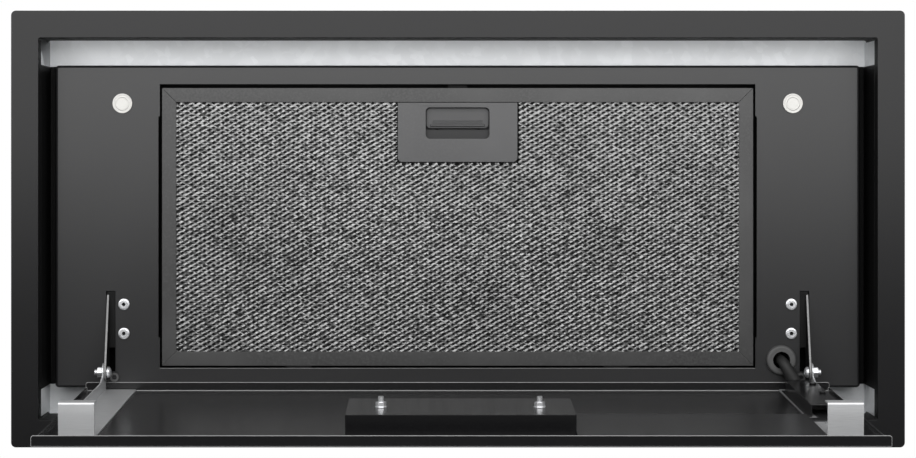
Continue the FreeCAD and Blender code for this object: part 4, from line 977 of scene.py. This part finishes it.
@dataclass
class PanelRivets:
    """Four blind rivets, each with a domed head, a ring groove and the mandrel's hole, which is
    painted dark as shade.

    Each step of the dome is its rise and the share of its width that it keeps.
    """

    x: float = 272.9
    rows: tuple[float, float] = (62.5, 86.3)
    seat_z: float = 28.2
    radius: float = 4.7
    height: float = 1.5
    rim: float = 1.35
    groove: float = 0.5
    dome: tuple[tuple[float, float], ...] = ((0.3, 0.96), (0.2, 0.93))
    hole: float = 1.5
    hole_middle: float = 0.2
    hole_normal: float = -0.5
    tail_radius: float = 2.4
    tail_z: float = 33.7
    sides: int = 40
    smooth_deg: float = 42.0

    def build(self) -> None:
        """Makes all four rivets as one piece."""
        rivets = join([self._rivet(side.value * self.x, y) for side in Side for y in self.rows])
        dress(rivets, BRIGHT_ZINC, "hood", "hinge_rivets", smooth=self.smooth_deg)
        # The mandrels' holes take the dull black as painted shade.
        paint_faces(rivets, ARM_BLACK_AND_PAINTED_SHADE, self._in_hole_shade)

    def _in_hole_shade(self, middle: Vector, normal: Vector) -> bool:
        """Tells whether a face is in the hole that the mandrel left, which is painted dark as
        shade.
        """
        away = math.hypot(abs(middle.x) - self.x, min((middle.y - y for y in self.rows), key=abs))
        inside = normal.z > self.hole_normal or away < self.hole_middle
        return inside and away < self.hole and middle.z < self.seat_z + NEAR

    def _rivet(self, x: float, y: float) -> bpy.types.Object:
        """Forms one rivet, head down.

        Args:
            x: Its place along X.
            y: Its place along Y.

        Returns:
            The rivet.
        """
        rim_z = self.seat_z - self.height + sum(rise for rise, _ in self.dome)
        rim, seat = (x, y, rim_z), (x, y, self.seat_z)
        rivet = barrel("hinge_rivet", self.radius, rim, seat, self.sides)
        pick_faces(rivet, lambda middle, normal: normal.z < -FACING)
        for rise, share in self.dome:
            extrude(0, 0, -rise)
            bpy.ops.transform.resize(value=(share, share, 1))
        inset(self.rim)
        extrude(0, 0, self.groove)
        inset(self.groove)
        extrude(0, 0, -self.groove)
        inset(self.rim - self.groove)
        extrude(0, 0, self.height)
        leave_edit()
        back = self.seat_z - NEAR
        pick_faces(rivet, lambda middle, normal: normal.z > FACING and middle.z > back)
        inset(self.radius - self.tail_radius)
        extrude(0, 0, self.tail_z - self.seat_z)
        leave_edit()
        return rivet


@dataclass
class ExpandedMesh:
    """A layer of expanded aluminium: slit strands that are pulled into small diamonds.

    Attributes:
        low: Its front left corner.
        high: Its rear right corner.
        cell: Width and depth of one diamond.
        strand: Width of a strand.
        overlap: Length of a strand, as a share of half its diamond's side.
        twist_deg: How far the rising and the falling strands are tilted.
        bend: How far a strand's corners are pushed about.
        notch: Half the width of what is cut away for the handle, and where it ends.
    """

    low: tuple[float, float] = (-239.6, -112.2)
    high: tuple[float, float] = (239.6, 110.7)
    cell: tuple[float, float] = (7.25, 4.03)
    strand: float = 1.5
    overlap: float = 2.15
    twist_deg: tuple[float, float] = (21.0, -9.0)
    bend: float = 0.5
    notch: tuple[float, float] = (50.2, -52.6)

    def build(self, name: str, node: str, z: float, seed: int) -> None:
        """Lays one layer of mesh.

        Args:
            name: The piece's name.
            node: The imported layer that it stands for.
            z: Height of its middle.
            seed: Sets which strands are bent.
        """
        mesh = join([self._strand(quarter, z) for quarter in range(4)])
        mesh.name = name
        columns, rows = [int((self.high[n] - self.low[n]) / self.cell[n]) for n in (0, 1)]
        repeat(mesh, columns, (self.cell[0], 0, 0))
        repeat(mesh, rows, (0, self.cell[1], 0))
        half, rear = self.notch
        pick_faces(mesh, lambda middle, normal: abs(middle.x) < half and middle.y < rear)
        bpy.ops.mesh.delete(type="FACE")
        bpy.ops.mesh.select_all(action="SELECT")
        bpy.ops.transform.vertex_random(offset=self.bend * MM, uniform=0.0, normal=0.0, seed=seed)
        leave_edit()
        dress(mesh, MESH_ALUMINIUM, "filter", node, smooth=1)

    def _strand(self, quarter: int, z: float) -> bpy.types.Object:
        """Adds one side of a diamond.

        Args:
            quarter: Which of the four sides.
            z: Height of its middle.

        Returns:
            A short twisted ribbon.
        """
        wide, deep = self.cell[0] / 4, self.cell[1] / 4
        right, rear = quarter % 2, quarter // 2
        slope = math.atan2(deep * 2, wide * 2) * (1 if right != rear else -1)
        x = self.low[0] + wide * (1 + 2 * right)
        y = self.low[1] + deep * (1 + 2 * rear)
        bpy.ops.object.select_all(action="DESELECT")
        bpy.ops.mesh.primitive_plane_add(size=1, location=(x * MM, y * MM, z * MM))
        strand = bpy.context.object
        strand.scale = (math.hypot(wide, deep) * self.overlap * MM, self.strand * MM, 1)
        activate(strand)
        bpy.ops.object.transform_apply(location=False, rotation=False, scale=True)
        tilt = math.radians(self.twist_deg[0] if right != rear else self.twist_deg[1])
        strand.rotation_euler = (math.pi + tilt, 0, slope)
        edit_all(settle(strand))
        bpy.ops.mesh.subdivide(number_cuts=1)
        leave_edit()
        return strand


@dataclass
class LatchSlide:
    """The slide in the finger cup, with ribs for the fingertip, and the springs behind it."""

    rib_x: float = 20.5
    rib_front: float = -83.6
    rib_count: int = 5
    rib_pitch: float = 0.9
    rib_width: float = 0.45
    top_z: float = 33.35
    low_z: float = 32.75
    shaded_bolt_y: float = -98.0
    spring_end: float = -72.9
    travel: float = 3.0
    edge: float = 0.35
    edge_steps: int = 3
    rib_edge: float = 0.12
    smooth_deg: float = 50.0

    def build(self) -> None:
        """Makes the slide, its ribs and its springs."""
        slide = worked_node("latch_slider", SLIDE_GREY, self.edge, self.edge_steps)
        # The slide's bolt, in the gap above the filter, takes the dull black as painted shade.
        paint_faces(slide, ARM_BLACK_AND_PAINTED_SHADE, lambda middle, normal: middle.y < self.shaded_bolt_y)
        y = self.rib_front - self.rib_count * self.rib_pitch
        low, high = (-self.rib_x, y, self.low_z), (self.rib_x, y + self.rib_width, self.top_z)
        ribs = block("latch_ribs", low, high)
        break_edges(ribs, self.rib_edge)
        repeat(ribs, self.rib_count, (0, self.rib_pitch, 0))
        dress(ribs, SLIDE_GREY, "latch")
        self._springs()

    def _springs(self) -> None:
        """Makes the coil springs as one fixed copy; nothing here shortens them as the slide is
        pressed to the rear.
        """
        springs = solid_copy("latch_springs", "latch_springs_piece")
        dress(springs, SPRING_BLACK, "filter", "latch_springs", smooth=self.smooth_deg)
        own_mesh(springs)


@dataclass
class HingeLead:
    """The sleeved lead that leaves the grommet and bends into the cable cover.

    Attributes:
        route: The points that the sleeve follows.
        radius: Its radius.
        swell: Share of the radius at each point.
        order: Order of the curve through the points.
        steps: Steps from one point to the next.
        ring_steps: Steps of a quarter of the sleeve's round.
        smooth_deg: Angle above which an edge stays sharp.
    """

    route: tuple[Place, ...] = (
        (264.5, 108.0, 34.0),
        (264.5, 108.0, 27.0),
        (264.6, 108.3, 20.4),
        (268.5, 115.0, 19.0),
        (272.6, 122.2, 19.0),
        (275.6, 127.4, 18.6),
        (276.0, 128.2, 12.0),
    )
    radius: float = 4.4
    swell: tuple[float, ...] = (0.9, 0.9, 0.95, 1.12, 1.3, 1.3, 1.1)
    order: int = 4
    steps: int = 10
    ring_steps: int = 7
    smooth_deg: float = 40.0

    def build(self) -> None:
        """Sweeps the sleeve along its route, as a smooth line."""
        curve = bpy.data.curves.new("hinge_lead", "CURVE")
        curve.dimensions = "3D"
        line = curve.splines.new("NURBS")
        line.points.add(len(self.route) - 1)
        for point, place, swell in zip(line.points, self.route, self.swell):
            point.co = (*[c * MM for c in place], 1.0)
            point.radius = swell
        line.order_u = self.order
        line.use_endpoint_u = True
        line.resolution_u = self.steps
        curve.bevel_depth = self.radius * MM
        curve.bevel_resolution = self.ring_steps
        curve.use_fill_caps = True
        piece = bpy.data.objects.new("hinge_lead_sleeve", curve)
        bpy.context.scene.collection.objects.link(piece)
        activate(piece)
        bpy.ops.object.convert(target="MESH")
        piece = bpy.context.object
        piece.data.materials.clear()
        piece.data.materials.append(RUBBER.material())
        bpy.ops.object.shade_smooth_by_angle(angle=math.radians(self.smooth_deg))
        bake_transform(piece)
        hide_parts("hinge_sleeve")
        log.info("%s: %s", piece.name, RUBBER.name)


@dataclass
class KeptNodes:
    """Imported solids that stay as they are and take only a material."""

    finishes: dict[str, Finish] = field(
        default_factory=lambda: {
            # The mesh core is darkened as painted shade.
            "filter_mesh_core": CORE_ALUMINIUM_PAINTED_SHADE,
            # The grommet and the stop rings are lightened as painted light.
            "cable_grommet": BUFFER_GREY_PAINTED_LIGHT,
            "stop_buffers": BUFFER_GREY_PAINTED_LIGHT,
            "control_studs": BRIGHT_ZINC,
            "filter_hooks": ARM_BLACK_AND_PAINTED_SHADE,
            "latch_strike": ARM_BLACK_AND_PAINTED_SHADE,
        }
    )

    def build(self) -> None:
        """Gives each node that is still shown a material."""
        for node, shown in frame["nodes"].items():
            if not shown.hide_render:
                kept_node(node, self.finishes.get(node, FINISH_OF_SLOT[SLOT_OF[node]]))


@dataclass(frozen=True)
class Softbox:
    """A rectangular lamp, in metres.

    Attributes:
        name: Its name.
        place: Where it hangs.
        aim: The point that it faces.
        size: Its width and height.
        watts: Its power.
    """

    name: str
    place: Place
    aim: Place
    size: tuple[float, float]
    watts: float

    def hang(self) -> None:
        """Adds the lamp, which the camera doesn't see."""
        data = bpy.data.lights.new(self.name, "AREA")
        data.shape = "RECTANGLE"
        data.size, data.size_y = self.size
        data.energy = self.watts
        lamp = bpy.data.objects.new(self.name, data)
        lamp.location = self.place
        away = Vector(self.place) - Vector(self.aim)
        lamp.rotation_euler = away.to_track_quat("Z", "Y").to_euler()
        lamp.visible_camera = False
        bpy.context.scene.collection.objects.link(lamp)


@dataclass
class Studio:
    """The camera, the lamps, the pale floor and the white world."""

    camera_mm: Place = (-19.3, -59.6, -1861.7)
    lens_mm: float = 90.8
    sensor_mm: float = 36.0
    shift: tuple[float, float] = (0.0262, -0.0808)
    clip: tuple[float, float] = (0.05, 100.0)
    lamps: tuple[Softbox, ...] = (
        Softbox("key_lamp", (0.0, -0.374, -0.745), (0.0, -0.05, 0.02), (1.9, 0.81), watts=17.5),
        Softbox("sky_lamp", (0.0, -1.2, 1.9), (0.0, 0.0, 0.1), (2.4, 1.4), watts=40.0),
        Softbox("foot_lamp", (0.0, 1.0, -1.5), (0.0, 0.12, 0.03), (1.8, 0.5), watts=5.0),
        Softbox("room_lamp", (-1.2, 1.9, 0.7), (0.0, 0.0, 0.0), (1.6, 1.2), watts=26.0),
    )
    floor_z: float = -6.2
    floor_size: float = 60.0
    floor_colour: str = "#d9d9d9"
    floor_roughness: float = 0.9
    world_colour: str = "#f2f2f2"
    world_strength: float = 0.1

    def build(self) -> None:
        """Sets up all that isn't part of the hood."""
        self._camera()
        for lamp in self.lamps:
            lamp.hang()
        self._floor()
        self._world()
        bpy.context.scene.view_settings.view_transform = "Standard"

    def _camera(self) -> None:
        """Puts the camera straight under the hood, with the wall side at the image's foot."""
        data = bpy.data.cameras.new("photo_camera")
        data.lens = self.lens_mm
        data.sensor_width = self.sensor_mm
        data.shift_x, data.shift_y = self.shift
        data.clip_start, data.clip_end = self.clip
        camera = bpy.data.objects.new("photo_camera", data)
        camera.location = [c * MM for c in self.camera_mm]
        camera.rotation_euler = (math.pi, 0, 0)
        bpy.context.scene.collection.objects.link(camera)
        bpy.context.scene.camera = camera

    def _floor(self) -> None:
        """Lays a plain pale floor far below the hood."""
        bpy.ops.object.select_all(action="DESELECT")
        bpy.ops.mesh.primitive_plane_add(size=self.floor_size, location=(0, 0, self.floor_z))
        floor = bpy.context.object
        floor.name = "studio_floor"
        matte = bpy.data.materials.new("matt_white_studio_vinyl")
        matte.use_nodes = True
        tree = matte.node_tree
        shader = tree.nodes["Principled BSDF"]
        shader.inputs["Base Color"].default_value = linear(self.floor_colour)
        shader.inputs["Roughness"].default_value = self.floor_roughness
        floor.data.materials.append(matte)

    def _world(self) -> None:
        """Makes the world white where it is seen and a soft grey where it lights."""
        world = bpy.data.worlds.new("studio_world")
        world.use_nodes = True
        bpy.context.scene.world = world
        tree = world.node_tree
        tree.nodes.clear()
        rays = add_node(tree, "ShaderNodeLightPath", {})
        mirror = add_node(
            tree,
            "ShaderNodeMath",
            {0: rays.outputs["Is Glossy Ray"], 1: rays.outputs["Is Transmission Ray"]},
            operation="MAXIMUM",
        )
        seen = add_node(
            tree,
            "ShaderNodeMath",
            {0: rays.outputs["Is Camera Ray"], 1: mirror.outputs[0]},
            operation="MAXIMUM",
        )
        white = add_node(
            tree, "ShaderNodeBackground", {"Color": (1, 1, 1, 1), "Strength": 1.0}
        )
        soft = add_node(
            tree,
            "ShaderNodeBackground",
            {"Color": linear(self.world_colour), "Strength": self.world_strength},
        )
        mixed = add_node(
            tree,
            "ShaderNodeMixShader",
            {0: seen.outputs[0], 1: soft.outputs[0], 2: white.outputs[0]},
        )
        output = add_node(tree, "ShaderNodeOutputWorld", {0: mixed.outputs[0]})
        output.is_active_output = True


def main() -> None:
    """Builds the studio and every sub-assembly, in order."""
    logging.basicConfig(level=logging.INFO, format="%(name)s %(message)s")
    Studio().build()
    SheetMetal().build()
    SheetsWithPaintedLight().build()
    CatchMagnets().build()
    PivotBolts().build()
    PanelRivets().build()
    ExpandedMesh().build("filter_mesh_front_layer", "filter_mesh_front", z=29.6, seed=3)
    LatchSlide().build()
    HingeLead().build()
    KeptNodes().build()


if __name__ == "__main__":
    main()
